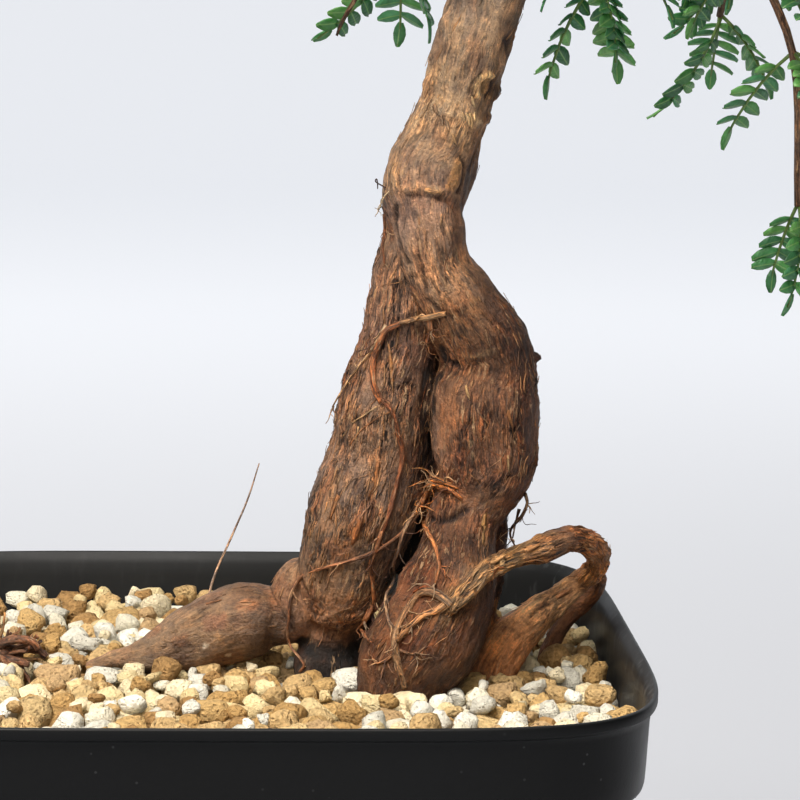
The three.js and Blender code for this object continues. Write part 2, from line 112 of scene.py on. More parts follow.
RIGHT_TUBER: list[Station] = [
    (38, 0, 80, 1.4), (37.6, 0, 87, 2.8), (37.9, 1, 92.4, 3.6), (38.8, 1, 97, 3.7), (41, 3, 100.7, 3.9),
    (43.8, 5, 103, 3.3), (47, 7, 105.3, 2.6), (50.1, 8, 107.4, 2), (53, 8, 109.9, 1.7),
    (54.6, 6, 111.8, 1.7), (55.1, 3, 114.1, 1.6), (54.4, 0, 116.2, 1.8), (52.2, -3, 118.2, 1.9),
    (49.4, -5, 118.7, 1.9), (46.2, -7, 118, 2), (43.4, -8, 117.3, 1.7), (40.5, -9, 116.5, 1.6),
    (38.4, -10, 115.8, 1.4), (36.5, -11.8, 114.8, 1.3), (34, -13.5, 112.6, 1.25), (31.7, -14.8, 110.2, 1.1),
]
BEHIND_ROOT: list[Station] = [
    (53.4, 7.4, 109.6, 1.1), (56.6, 12, 109, 1.4), (56.6, 16, 105.9, 1.8), (54.3, 18, 103, 2.2),
    (51.3, 18, 99.5, 2.3), (48.8, 17, 94, 1.9), (47, 16, 86, 1),
]
BACK_ROOT: list[Station] = [
    (37, 3, 128, 1.6), (39.3, 6, 123.1, 1.8), (39.7, 6, 118, 2.1), (38.8, 5, 112.1, 2.4),
    (37.4, 4, 106.2, 2.7), (36, 3.4, 100.3, 2.7), (34, 4, 93, 2), (32, 6, 84, 1),
]
TRUNK_SHOULDER: list[Station] = [
    (35, 1.5, 180, 1.6), (34, 1.8, 175, 2.1), (33.1, 1.8, 171, 2.2), (32.4, 1.6, 168, 1.9),
    (31.6, 1.2, 165.5, 1.2),
]
HIDDEN_ROOT: list[Station] = [
    (19.2, 4.4, 108, 1.8), (19.8, 4.4, 103, 2.5), (19.8, 5, 98, 2.5), (19, 5, 92, 1.6)
]
# A root that fills the gap between the legs; its near-black tone is painted shade.
INNER_ROOT: list[Station] = [
    (31.4, 2.5, 160, 2.4), (31, 4.4, 149, 3.1), (30.4, 5, 136, 3.4), (29.4, 5, 123, 3.5), (27, 5, 111, 2.6)
]
DRY_ROOT: list[Station] = [
    (-46, 2, 93.5, 2.2), (-42, 3, 97.4, 2.1), (-37, 4, 99, 2), (-33.4, 4.6, 99.4, 1.7),
    (-30.4, 4.8, 99.2, 0.8),
]
DRY_ROOT_ENDS: list[list[Station]] = [
    [(-36, 4, 99.4, 0.8), (-32, 3, 101.6, 0.7), (-28.8, 2.4, 101.4, 0.6), (-28, 2.2, 100.4, 0.5)],
    [(-36, 4, 99, 0.8), (-32, 5.4, 99.6, 0.7), (-28.4, 6.2, 99.4, 0.6), (-27, 6, 98.4, 0.5)],
    [(-36, 4, 98.6, 0.8), (-32, 2.6, 98.6, 0.7), (-29.4, 1.8, 98.2, 0.5)],
]
BRANCHES: list[list[Station]] = [
    [
        (39, 2, 213, 3), (43, 10, 220, 3), (46, 19, 222, 2.7), (53, 26, 226, 2.5), (57, 34, 224, 2.2),
        (66, 39, 224, 2), (72, 46, 219, 1.6),
    ],
    [
        (39, 3, 218, 3), (48, 2, 225, 2.9), (56, 5, 227, 2.6), (64, 3, 233, 2.4), (73, 7, 234, 2.1),
        (81, 5, 238, 1.6),
    ],
    [
        (38, 4, 222, 3), (32, 12, 230, 2.8), (31, 20, 230, 2.5), (23, 27, 235, 2.3), (22, 35, 232, 2),
        (14, 41, 232, 1.6),
    ],
    [
        (38, 4, 225, 3), (29, 0, 233, 2.8), (21, 2, 234, 2.5), (13, -3, 239, 2.3), (4, -2, 239, 2),
        (-4, -7, 242, 1.6),
    ],
    [(40, 3, 219, 3), (44, -6, 227, 2.7), (52, -11, 229, 2.4), (55, -20, 234, 2.1), (63, -25, 235, 1.6)],
    [(38, 4, 229, 3.4), (34, 8, 240, 3), (38, 5, 249, 2.7), (35, 0, 258, 2.4), (39, -3, 267, 1.8)],
]

DEAD_TWIG: list[Station] = [
    (20.5, 1, 234, 0.6), (22.5, 1, 224, 0.46), (21.5, 0.5, 210, 0.4), (18.8, 0, 199.5, 0.34),
    (15.6, 0, 193.4, 0.3), (14.9, 0, 191.6, 0.2),
]
STANDING_ROOT: list[Station] = [
    (-4, 34, 95, 0.24), (-2.3, 35, 104, 0.2), (0.6, 35.4, 111, 0.18), (3.2, 35, 117.4, 0.15),
    (4.9, 35, 123, 0.1),
]


@dataclass(frozen=True)
class SprayPlan:
    """Where one leafy stem stands: its branch, the end of its stub, its tip, and how far it arches."""

    name: str
    root: tuple[float, float, float]
    start: tuple[float, float, float]
    tip: tuple[float, float, float]
    arch: float
    leaves: int = 4


SPRAYS: list[SprayPlan] = [SprayPlan(*row) for row in (
    ("spray_back_hanging", (57, 34, 224), (56, 38, 220), (57, 40, 199), 3),
    ("spray_back_low", (72, 46, 219), (74, 50, 215), (80, 63, 193), 5),
    ("spray_back_long", (71, 44, 220), (77, 44, 219), (92, 52, 163), 14),
    ("spray_right_upper", (73, 7, 234), (75, 11, 235), (98, 22, 220), 6),
    ("spray_right_tip", (80, 5, 238), (86, 3, 239), (110, -6, 226), 6),
    ("spray_left_hanging", (22, 35, 232), (24, 40, 228), (26, 46, 203), 3),
    ("spray_left_back", (15, 40, 232), (10, 44, 231), (-10, 54, 217), 6),
    ("spray_left_upper", (4, -2, 239), (1, 3, 239), (-20, 16, 228), 6),
    ("spray_left_tip", (-3, -7, 242), (-9, -9, 242), (-34, -16, 229), 6),
    ("spray_left_front", (13, -3, 239), (12, -8, 240), (4, -33, 232), 4),
    ("spray_front_left", (55, -20, 234), (50, -24, 236), (38, -46, 229), 5),
    ("spray_front_right", (62, -25, 235), (68, -27, 236), (90, -40, 224), 6),
    ("spray_top_left", (35, 0, 258), (30, -1, 261), (8, -8, 266), 4),
    ("spray_top_right", (38, 5, 249), (43, 8, 252), (63, 20, 258), 5),
    ("spray_top_front", (39, -3, 266), (43, -5, 270), (60, -16, 276), 5),
    ("spray_top", (39, -3, 266), (37, 1, 272), (28, 12, 288), 4),
)]


def linear(hex_colour: str) -> tuple[float, float, float, float]:
    """Turns an sRGB hex colour into a linear one.

    Args:
        hex_colour: Such as "#8a6f5c".

    Returns:
        Red, green, blue and a full alpha.
    """
    shares = [int(hex_colour[place : place + 2], 16) / 255 for place in (1, 3, 5)]
    light = [share / 12.92 if share <= 0.04045 else ((share + 0.055) / 1.055) ** 2.4 for share in shares]
    return (light[0], light[1], light[2], 1.0)


def tint(hex_colour: str) -> np.ndarray:
    """A linear colour's red, green and blue."""
    return np.array(linear(hex_colour)[:3])


def unit(vector: np.ndarray) -> np.ndarray:
    """The same direction with a length of one."""
    return vector / np.linalg.norm(vector)


def scatter(i: float, j: float, channel: int) -> float:
    """A repeatable scatter between -1 and 1 for a pair of counters, the same one as in the solids."""
    wave = math.sin(i * 12.9898 + j * 78.233 + channel * 37.719) * 43758.5453
    return 2 * (wave - math.floor(wave)) - 1


def smoothstep(values: np.ndarray, low: float, high: float) -> np.ndarray:
    """A soft step from 0 at low to 1 at high. Low may be above high."""
    share = np.clip((values - low) / (high - low), 0, 1)
    return share * share * (3 - 2 * share)


def field_noise(points: np.ndarray, size: tuple[float, float, float], seed: float) -> np.ndarray:
    """Perlin noise at many points.

    Args:
        points: Rows of x, y and z.
        size: The width of one swelling along each axis, in the points' unit.
        seed: Moves the pattern, so that two calls differ.

    Returns:
        One value between about -1 and 1 for each point.
    """
    moved = points / np.array(size) + seed
    return np.array([noise.noise(row) for row in moved.tolist()])


@dataclass
class NodeGraph:
    """A material's or a world's nodes, each known by a name."""

    tree: NodeTree
    nodes: dict[str, Node] = field(default_factory=dict)

    def add(
        self, name: str, kind: str, inputs: dict[str | int, Any] | None = None,
        stops: Sequence[tuple[float, ...]] = (), **settings: Any,
    ) -> None:
        """Adds one node with its settings, its input values and its links.

        Args:
            name: The node's name in this graph.
            kind: The node's type without its prefix, such as "TexNoise".
            inputs: A socket's name or number, with a value or with an earlier node's name, to which
                an output follows after a dot where it isn't the first.
            stops: A colour ramp's stops, each a place, red, green and blue.
            **settings: The node's own properties.
        """
        node = self.tree.nodes.new("ShaderNode" + kind)
        self.nodes[name] = node
        for setting, value in settings.items():
            setattr(node, setting, value)
        for socket, value in (inputs or {}).items():
            if isinstance(value, str):
                source, _, output = value.partition(".")
                outputs = self.nodes[source].outputs
                self.tree.links.new(
                    outputs[output if output.isalpha() else int(output or 0)], node.inputs[socket]
                )
            else:
                node.inputs[socket].default_value = value
        if stops:
            ramp = node.color_ramp
            while len(ramp.elements) < len(stops):
                ramp.elements.new(0.5)
            for element, (place, *colour) in zip(ramp.elements, stops):
                element.position = place
                element.color = (*colour, 1)


def new_material(name: str) -> tuple[Material, Callable[..., None]]:
    """A material with an empty tree.

    Args:
        name: The real material's name.

    Returns:
        The material, and the function that adds its nodes.
    """
    material = bpy.data.materials.new(name)
    material.use_nodes = True
    material.node_tree.nodes.clear()
    return material, NodeGraph(material.node_tree).add


@dataclass(frozen=True)
class BarkFinish:
    """Dry bark that splits along each limb: the tone attribute carries its colour, broken into grey plates
    with rusty furrows between them, long fibres, torn pale slivers and dark splits.

    The weather attribute says how far the skin has split, from 0 to 1.
    """

    name: str
    edge: str = "#c7a077"
    crack: str = "#1a100a"
    fibre: tuple[float, float] = (0.3, 3.4)
    sliver: tuple[float, float] = (0.5, 4.2)
    plate: tuple[float, float] = (1.15, 5.2)
    sway: float = 5.5
    blotch: float = 3.6
    crumb: float = 0.7
    grit: float = 0.24
    wobble: float = 0.7
    roughness: float = 0.6
    relief: float = 0.65

    def build(self) -> Material:
        """Builds the material.

        Returns:
            The finished material.
        """
        material, add = new_material(self.name)
        for name in ("flow", "tone", "hollow", "weather"):
            add(name, "Attribute", attribute_name=name)
        add("place", "TexCoord")
        for name, scale, detail, rough in (
            ("sway", 1 / self.sway, 1.0, 0.5), ("crumbs", 0.7 / self.crumb, 5.0, 0.72),
            ("blotches", 0.7 / self.blotch, 5.0, 0.65), ("grit", 0.7 / self.grit, 2.0, 0.6),
        ):
            values = {"Vector": "place.Object", "Scale": scale / MM, "Detail": detail, "Roughness": rough}
            add(name, "TexNoise", values)
        add("centred", "VectorMath", {0: "sway.Color", 1: (0.5, 0.5, 0.5)}, operation="SUBTRACT")
        reach = (self.wobble * 2 * MM,) * 3
        add("line", "VectorMath", {0: "centred", 1: reach, 2: "flow.Vector"}, operation="MULTIPLY_ADD")
        for name, (width, length), detail in (
            ("fibres", self.fibre, 4.0), ("slivers", self.sliver, 3.0), ("plates", self.plate, 5.0)
        ):
            drawn = (0.8 / (width * MM), 0.8 / (width * MM), 0.8 / (length * MM))
            add(name + "_line", "Mapping", {"Vector": "line", "Scale": drawn})
            add(name, "TexNoise", {
                "Vector": name + "_line", "Scale": 1.0, "Detail": detail, "Roughness": 0.68
            })
        self.add_ramps(add)
        under = "tone"
        for light, share in (
            ("fibre_light", "weather.Fac"), ("plate_light", "weather.Fac"), ("crumb_light", 0.75),
            ("grit_light", 0.45), ("blotch_light", 0.9),
        ):
            values = {0: share, 6: under, 7: light}
            add("laid_" + light, "Mix", values, data_type="RGBA", blend_type="MULTIPLY", clamp_result=False)
            under = "laid_" + light + ".2"
        add("torn", "MapRange", {"Value": "slivers", "From Min": 0.59, "From Max": 0.63, "To Max": 0.85})
        add("torn_some", "MapRange", {"Value": "blotches", "From Min": 0.42, "From Max": 0.51})
        add("split", "MapRange", {"Value": "slivers", "From Min": 0.425, "From Max": 0.385, "To Max": 0.92})
        for name, values, operation in (
            ("torn_part", {0: "torn", 1: "torn_some"}, "MULTIPLY"),
            ("torn_cover", {0: "torn_part", 1: "weather.Fac"}, "MULTIPLY"),
            ("split_share", {0: "split", 1: "weather.Fac"}, "MULTIPLY"),
            # The attribute read here carries dark splits and painted shade in deep recesses.
            ("dark", {0: "split_share", 1: "hollow.Fac"}, "MAXIMUM"),
            ("layered", {0: "sliver_height", 1: 0.8, 2: "plate_height"}, "MULTIPLY_ADD"),
            ("fibred", {0: "fibres", 1: 1.3, 2: "layered"}, "MULTIPLY_ADD"),
            ("weathered", {0: "fibred", 1: "weather.Fac"}, "MULTIPLY"),
            ("crumbly", {0: "crumbs", 1: 0.9, 2: "weathered"}, "MULTIPLY_ADD"),
            ("height", {0: "grit", 1: 0.3, 2: "crumbly"}, "MULTIPLY_ADD"),
        ):
            add(name, "Math", values, operation=operation)
        add("frayed", "Mix", {0: "torn_cover", 6: under, 7: linear(self.edge)}, data_type="RGBA")
        add("shaded", "Mix", {0: "dark", 6: "frayed.2", 7: linear(self.crack)}, data_type="RGBA")
        add("bump", "Bump", {"Height": "height", "Strength": 1.0, "Distance": self.relief * MM})
        add("shader", "BsdfPrincipled", {
            "Base Color": "shaded.2", "Roughness": self.roughness, "Specular IOR Level": 0.36,
            "Normal": "bump",
        })
        add("output", "OutputMaterial", {"Surface": "shader"})
        return material

    @staticmethod
    def add_ramps(add: Callable[..., None]) -> None:
        """Adds the ramps that turn the noises into light factors and into heights.

        Args:
            add: The function that adds a node to the material.
        """
        for name, noise_name, stops in (
            ("grit_light", "grit", ((0.36, 0.7, 0.68, 0.66), (0.5, 1, 1, 1), (0.64, 1.3, 1.27, 1.22))),
            ("crumb_light", "crumbs", (
                (0.34, 0.55, 0.51, 0.5), (0.46, 0.98, 0.97, 0.97), (0.58, 1.08, 1.06, 1.02),
                (0.66, 1.75, 1.62, 1.4),
            )),
            ("plate_light", "plates", (
                (0.36, 0.12, 0.1, 0.09), (0.41, 0.5, 0.37, 0.29), (0.45, 1.5, 1.2, 0.95),
                (0.49, 1.5, 1.3, 1.08), (0.51, 0.7, 0.71, 0.75), (0.6, 0.64, 0.66, 0.71),
                (0.64, 1.6, 1.5, 1.34),
            )),
            ("fibre_light", "fibres", (
                (0.36, 0.3, 0.27, 0.25), (0.44, 0.9, 0.88, 0.86), (0.55, 1.06, 1.05, 1.04),
                (0.62, 1.9, 1.8, 1.62),
            )),
            ("blotch_light", "blotches", (
                (0.35, 0.5, 0.49, 0.54), (0.46, 0.9, 0.9, 0.94), (0.53, 1.06, 1.02, 0.98),
                (0.65, 1.5, 1.37, 1.22),
            )),
        ):
            add(name, "ValToRGB", {"Fac": noise_name}, stops)
        for name, noise_name, heights in (
            ("sliver_height", "slivers", ((0.33, 0), (0.41, 0.5), (0.58, 0.6), (0.64, 1))),
            ("plate_height", "plates", (
                (0.33, 0), (0.39, 0.3), (0.49, 0.4), (0.52, 0.85), (0.64, 0.95), (0.66, 1.3)
            )),
        ):
            add(name, "ValToRGB", {"Fac": noise_name}, [
                (place, level, level, level) for place, level in heights
            ])


@dataclass(frozen=True)
class StoneFinish:
    """Dry, unglazed grit: the tone attribute carries each stone's colour, broken by pits and crumbs."""

    name: str
    pit: str
    pit_size: float
    pit_share: float
    crumb_size: float
    relief: float
    mottle: float

    def build(self) -> Material:
        """Builds the material.

        Returns:
            The finished material.
        """
        material, add = new_material(self.name)
        add("tone", "Attribute", attribute_name="tone")
        add("place", "TexCoord")
        scale = 0.7 / (self.crumb_size * MM)
        add("crumbs", "TexNoise", {
            "Vector": "place.Object", "Scale": scale, "Detail": 6.0, "Roughness": 0.65
        })
        add("pits", "TexVoronoi", {
            "Vector": "place.Object", "Scale": 1 / (self.pit_size * MM), "Randomness": 1.0
        })
        add(
            "pit", "MapRange", {"Value": "pits", "From Min": self.pit_share, "From Max": 0.0, "To Max": 0.8}
        )
        add("some", "MapRange", {"Value": "crumbs", "From Min": 0.5, "From Max": 0.6})
        add("pit_cover", "Math", {0: "pit", 1: "some"}, operation="MULTIPLY")
        dim, bright = 1 - self.mottle, 1 + self.mottle
        add("light", "ValToRGB", {"Fac": "crumbs"}, [(0.3, dim, dim, dim), (0.7, bright, bright, bright)])
        add(
            "mottled", "Mix", {0: 1.0, 6: "tone", 7: "light"}, data_type="RGBA", blend_type="MULTIPLY",
            clamp_result=False,
        )
        add("pitted", "Mix", {0: "pit_cover", 6: "mottled.2", 7: linear(self.pit)}, data_type="RGBA")
        add("height", "Math", {0: "pit", 1: -0.5, 2: "crumbs"}, operation="MULTIPLY_ADD")
        add("bump", "Bump", {"Height": "height", "Strength": 1.0, "Distance": self.relief * MM})
        add("shader", "BsdfPrincipled", {
            "Base Color": "pitted.2", "Roughness": 0.95, "Specular IOR Level": 0.2, "Normal": "bump"
        })
        add("output", "OutputMaterial", {"Surface": "shader"})
        return material


@dataclass(frozen=True)
class PolypropyleneFinish:
    """Moulded black polypropylene, satin with a fine grain, a little dust on its ledges and inside."""

    name: str = "moulded black polypropylene"
    colour: str = "#0a0b0c"
    dust: str = "#6a6c6d"
    roughness: float = 0.4
    grain: float = 0.35
    cloud: float = 14.0
    speck: float = 2.6
    run: tuple[float, float] = (1.1, 5.0)

    def build(self) -> Material:
        """Builds the material.

        Returns:
            The finished material.
        """
        material, add = new_material(self.name)
        add("place", "TexCoord")
        add("inside", "Attribute", attribute_name="inside")
        add(
            "grain", "TexNoise", {"Vector": "place.Object", "Scale": 0.7 / (self.grain * MM), "Detail": 3.0}
        )
        add("cloud", "TexNoise", {
            "Vector": "place.Object", "Scale": 0.7 / (self.cloud * MM), "Detail": 4.0, "Roughness": 0.6
        })
        width, length = self.run
        drawn = (1 / (width * MM), 1 / (width * MM), 1 / (length * MM))
        add("upright", "Mapping", {"Vector": "place.Object", "Scale": drawn})
        add("runs", "TexNoise", {"Vector": "upright", "Scale": 0.8, "Detail": 5.0})
        add("specks", "TexVoronoi", {
            "Vector": "place.Object", "Scale": 1 / (self.speck * MM), "Randomness": 1.0
        })
        add("spot", "SeparateXYZ", {"Vector": "place.Object"})
        add("geometry", "NewGeometry")
        add("facing", "SeparateXYZ", {"Vector": "geometry.Normal"})
        for name, source, low, high, to_low, to_high in (
            ("run_edge", "runs", 0.55, 0.7, 0, 0.26), ("scuffed", "spot.X", 40 * MM, 56 * MM, 0.1, 1),
            ("ledge", "facing.Z", 0.55, 1, 0, 0.06), ("speck_edge", "specks", 0.085, 0.05, 0, 0.35),
            ("speck_some", "cloud", 0.5, 0.66, 0, 1),
            ("sheen", "cloud", 0.35, 0.65, self.roughness - 0.04, self.roughness + 0.08),
        ):
            values = {
                "Value": source, "From Min": low, "From Max": high, "To Min": to_low, "To Max": to_high
            }
            add(name, "MapRange", values)
        for name, values, operation in (
            ("scuffed_inside", {0: "scuffed", 1: "inside.Fac"}, "MULTIPLY"),
            ("run_cover", {0: "run_edge", 1: "scuffed_inside"}, "MULTIPLY"),
            ("speck_cover", {0: "speck_edge", 1: "speck_some"}, "MULTIPLY"),
            ("inside_dust", {0: "inside.Fac", 1: 0.08, 2: "ledge"}, "MULTIPLY_ADD"),
            ("dusted", {0: "run_cover", 1: "inside_dust"}, "ADD"),
            ("dust", {0: "dusted", 1: "speck_cover"}, "MAXIMUM"),
        ):
            add(name, "Math", values, operation=operation)
        add("colour", "Mix", {0: "dust", 6: linear(self.colour), 7: linear(self.dust)}, data_type="RGBA")
        add("bump", "Bump", {"Height": "grain", "Strength": 0.25, "Distance": 0.05 * MM})
        add("shader", "BsdfPrincipled", {
            "Base Color": "colour.2", "Roughness": "sheen", "IOR": 1.49, "Specular IOR Level": 0.14,
            "Normal": "bump",
        })
        add("output", "OutputMaterial", {"Surface": "shader"})
        return material


@dataclass(frozen=True)
class LeafFinish:
    """A young satin leaf: the tone attribute carries its green, with a paler middle vein."""

    name: str = "satin green leaf"
    vein: str = "#8fae6a"
    roughness: float = 0.42
    rib_gap: float = 0.8
    mottle: float = 1.2
    glow_depth: tuple[float, float, float] = (0.0006, 0.001, 0.0003)

    def build(self) -> Material:
        """Builds the material.

        Returns:
            The finished material.
        """
        material, add = new_material(self.name)
        add("tone", "Attribute", attribute_name="tone")
        add("flow", "Attribute", attribute_name="flow")
        add("place", "TexCoord")
        add("parts", "SeparateXYZ", {"Vector": "flow.Vector"})
        add("side", "Math", {0: "parts.Y"}, operation="ABSOLUTE")
        add("middle", "MapRange", {
            "Value": "side", "From Min": 0.13 * MM, "From Max": 0.05 * MM, "To Max": 0.6
        })
        add("slant", "Math", {0: "side", 1: 0.7, 2: "parts.X"}, operation="MULTIPLY_ADD")
        add("ribs", "Math", {0: "slant", 1: 2 * math.pi / (self.rib_gap * MM)}, operation="MULTIPLY")
        add("rib_wave", "Math", {0: "ribs"}, operation="SINE")
        add("mottle", "TexNoise", {
            "Vector": "place.Object", "Scale": 0.7 / (self.mottle * MM), "Detail": 3.0
        })
        add("light", "ValToRGB", {"Fac": "mottle"}, [(0.3, 0.72, 0.75, 0.7), (0.7, 1.25, 1.2, 1.1)])
        add(
            "mottled", "Mix", {0: 1.0, 6: "tone", 7: "light"}, data_type="RGBA", blend_type="MULTIPLY",
            clamp_result=False,
        )
        add("veined", "Mix", {0: "middle", 6: "mottled.2", 7: linear(self.vein)}, data_type="RGBA")
        add("bump", "Bump", {"Height": "rib_wave", "Strength": 0.3, "Distance": 0.05 * MM})
        add("shader", "BsdfPrincipled", {
            "Base Color": "veined.2", "Roughness": self.roughness, "Subsurface Weight": 0.25,
            "Subsurface Radius": self.glow_depth, "Subsurface Scale": 1.0, "Normal": "bump",
        })
        add("output", "OutputMaterial", {"Surface": "shader"})
        return material


@dataclass(frozen=True)
class PaperFinish:
    """A smooth studio sweep of matt, near-white paper."""

    name: str = "matt white paper sweep"
    colour: str = "#a8acb3"
    glow_colour: str = "#f4f7fc"
    glow: float = 0.56
    glow_start: float = 0.1
    glow_end: float = 1.3

    def build(self) -> Material:
        """Builds the material.

        Returns:
            The finished material.
        """
        material, add = new_material(self.name)
        add("place", "TexCoord")
        add("parts", "SeparateXYZ", {"Vector": "place.Object"})
        values = {
            "Value": "parts.Y", "From Min": self.glow_start, "From Max": self.glow_end, "To Max": self.glow
        }
        add("behind", "MapRange", values, interpolation_type="SMOOTHSTEP")
        add("shader", "BsdfPrincipled", {
            "Base Color": linear(self.colour), "Roughness": 0.95, "Specular IOR Level": 0.1,
            "Emission Color": linear(self.glow_colour), "Emission Strength": "behind",
        })
        add("output", "OutputMaterial", {"Surface": "shader"})
        return material


@dataclass
class Ring:
    """One cross-section of a limb: its middle, its own two axes, its radius and its distance along."""

    place: np.ndarray
    along: np.ndarray
    across: np.ndarray
    third: np.ndarray
    radius: float
    travel: float


def limb_rings(stations: Sequence[Station], cuts: int) -> list[Ring]:
    """Rings along a centripetal curve through the stations, with axes that don't twist.

    Args:
        stations: x, y, z and radius of each station, in millimetres.
        cuts: How many steps there are from one station to the next.

    Returns:
        The rings, first to last.
    """
    rows = np.array(stations, float)
    padded = np.vstack([2 * rows[0] - rows[1], rows, 2 * rows[-1] - rows[-2]])
    padded[:, 3] = np.maximum(padded[:, 3], THINNEST)
    places: list[np.ndarray] = []
    slopes: list[np.ndarray] = []
    for i in range(len(rows) - 1):
        before, start, end, after = padded[i : i + 4]
        gaps = [
            max(math.sqrt(np.linalg.norm(b[:3] - a[:3])), 1e-2)
            for a, b in ((before, start), (start, end), (end, after))
        ]
        lead = (start - before) / gaps[0] - (end - before) / (gaps[0] + gaps[1]) + (end - start) / gaps[1]
        tail = (end - start) / gaps[1] - (after - start) / (gaps[1] + gaps[2]) + (after - end) / gaps[2]
        lead = lead * gaps[1]
        tail = tail * gaps[1]
        square = -3 * start + 3 * end - 2 * lead - tail
        cube = 2 * start - 2 * end + lead + tail
        for cut in range(cuts + (i == len(rows) - 2)):
            share = cut / cuts
            places.append(start + lead * share + square * share**2 + cube * share**3)
            slopes.append((lead + 2 * square * share + 3 * cube * share**2)[:3])
    rings = []
    across = np.array([0.3, -1, 0.2])
    travel = 0.0
    for step, (row, slope) in enumerate(zip(places, slopes)):
        along = unit(slope)
        across = unit(across - along * float(across @ along))
        if step:
            travel += float(np.linalg.norm(row[:3] - places[step - 1][:3]))
        rings.append(
            Ring(row[:3], along, across, np.cross(along, across), max(float(row[3]), THINNEST), travel)
        )
    return rings


def bark_relief(angle: float, place: np.ndarray) -> float:
    """The solids' swellings and flutes, as a factor on the radius at an angle round a limb."""
    swell = math.sin(0.42 * place[2] + 0.31 * place[0] + 1.1) * math.sin(2 * angle + 0.17 * place[2])
    flute = math.sin(5 * angle + 0.21 * place[2]) * math.cos(0.13 * place[2] + 0.4 * place[1])
    return 1 + 0.05 * swell + 0.045 * flute


def smooth_relief(_angle: float, _place: np.ndarray) -> float:
    """No relief: the limb is round."""
    return 1.0


def ribbed_relief(angle: float, place: np.ndarray) -> float:
    """Shrunken flesh on a dried root: fine ridges along it and rings across it."""
    ridges = 0.09 * math.sin(7 * angle + 0.5 * place[0])
    rings = 0.06 * math.sin(3.1 * place[0] + 1.3 * place[2] + math.sin(angle))
    return 1 + ridges + rings


def ringed_tube(bm: BMesh, sides: int, steps: int) -> list[BMVert]:
    """A closed straight tube, a unit in radius, with a ring of corners at each whole step of its height.

    Args:
        bm: The mesh that gets the tube.
        sides: How many corners a ring has.
        steps: How many steps there are from its first to its last ring.

    Returns:
        The tube's corners.
    """
    first = len(bm.verts)
    made = bmesh.ops.create_cone(
        bm, cap_ends=True, cap_tris=False, segments=sides, radius1=1, radius2=1, depth=steps
    )
    long_edges = {
        edge
        for corner in made["verts"]
        for edge in corner.link_edges if abs(edge.verts[0].co.z - edge.verts[1].co.z) > 0.5
    }
    if steps > 1:
        bmesh.ops.subdivide_edges(bm, edges=list(long_edges), cuts=steps - 1)
    bm.verts.ensure_lookup_table()
    return bm.verts[first:]


def skin_layers(bm: BMesh) -> tuple[Any, Any, Any]:
    """The mesh's layers for the skin's flow, tone and weathering, which are made if it has none."""
    layers = bm.verts.layers
    flow = layers.float_vector.get("flow") or layers.float_vector.new("flow")
    tone = layers.float_color.get("tone") or layers.float_color.new("tone")
    weather = layers.float.get("weather") or layers.float.new("weather")
    return flow, tone, weather


@dataclass
class Strand:
    """A limb, root, twig or hair that follows a line of stations."""

    stations: Sequence[Station]
    sides: int = 8
    cuts: int = 3
    tone: str = "#6b4f3e"
    weather: float = 0.8
    relief: Callable[[float, np.ndarray], float] = smooth_relief

    def build(self, bm: BMesh) -> list[BMVert]:
        """Adds the strand to a mesh, with its tone and its flow along the strand.

        Args:
            bm: The mesh, in millimetres.

        Returns:
            The strand's corners.
        """
        flow, tone, weather = skin_layers(bm)
        rings = limb_rings(self.stations, self.cuts)
        steps = len(rings) - 1
        colour = linear(self.tone)
        corners = ringed_tube(bm, self.sides, steps)
        for corner in corners:
            ring = rings[round(corner.co.z + steps / 2)]
            angle = math.atan2(corner.co.y, corner.co.x)
            reach = ring.radius * self.relief(angle, ring.place)
            side, front = math.cos(angle) * reach, math.sin(angle) * reach
            corner.co = Vector(ring.place + ring.third * side + ring.across * front)
            corner[flow] = Vector((side, front, ring.travel + ring.place[0])) * MM
            corner[tone] = colour
            corner[weather] = self.weather
        return corners


def freed_mesh(bm: BMesh, name: str) -> Mesh:
    """Turns a mesh under work into a named one, and frees it."""
    mesh = bpy.data.meshes.new(name)
    bm.to_mesh(mesh)
    bm.free()
    return mesh


def linked(name: str, data: Any) -> Object:
    """A new object in the scene, with its mesh, light or camera."""
    made = bpy.data.objects.new(name, data)
    bpy.context.scene.collection.objects.link(made)
    return made


def pour(part: BMesh, whole: BMesh) -> None:
    """Moves a small mesh into a large one.

    Args:
        part: The small mesh, which is freed.
        whole: The mesh that gets it.
    """
    carrier = freed_mesh(part, "carrier")
    whole.from_mesh(carrier)
    bpy.data.meshes.remove(carrier)


def make_piece(
    bm: BMesh, name: str, materials: Sequence[Material], replaced: Iterable[str] = ()
) -> Object:
    """Turns a mesh in millimetres into a finished piece that rides on the model.

    Args:
        bm: The mesh, which is freed.
        name: The piece's name.
        materials: Its materials, in the order of its faces' material numbers.
        replaced: The solids that it stands for.

    Returns:
        The piece.
    """
    bmesh.ops.recalc_face_normals(bm, faces=bm.faces)
    bmesh.ops.scale(bm, vec=(MM, MM, MM), verts=bm.verts)
    for face in bm.faces:
        face.smooth = True
    piece = linked(name, freed_mesh(bm, name))
    for material in materials:
        piece.data.materials.append(material)
    settle(piece, replaced)
    return piece


def settle(piece: Object, replaced: Iterable[str] = ()) -> None:
    """Lets a piece ride on the model, hides the solids that it stands for and logs its faces.

    Args:
        piece: The finished piece.
        replaced: The solids' node names.
    """
    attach(piece, "root")
    nodes = list(replaced)
    if nodes:
        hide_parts(*nodes)
    LOG.info("%s: %d faces", piece.name, len(piece.data.polygons))


def evaluated_mesh(piece: Object, name: str) -> Mesh:
    """A piece's mesh with its modifiers applied.

    Args:
        piece: The object with live modifiers.
        name: The new mesh's name.

    Returns:
        The new mesh.
    """
    graph = bpy.context.evaluated_depsgraph_get()
    graph.update()
    mesh = bpy.data.meshes.new_from_object(piece.evaluated_get(graph))
    mesh.name = name
    return mesh


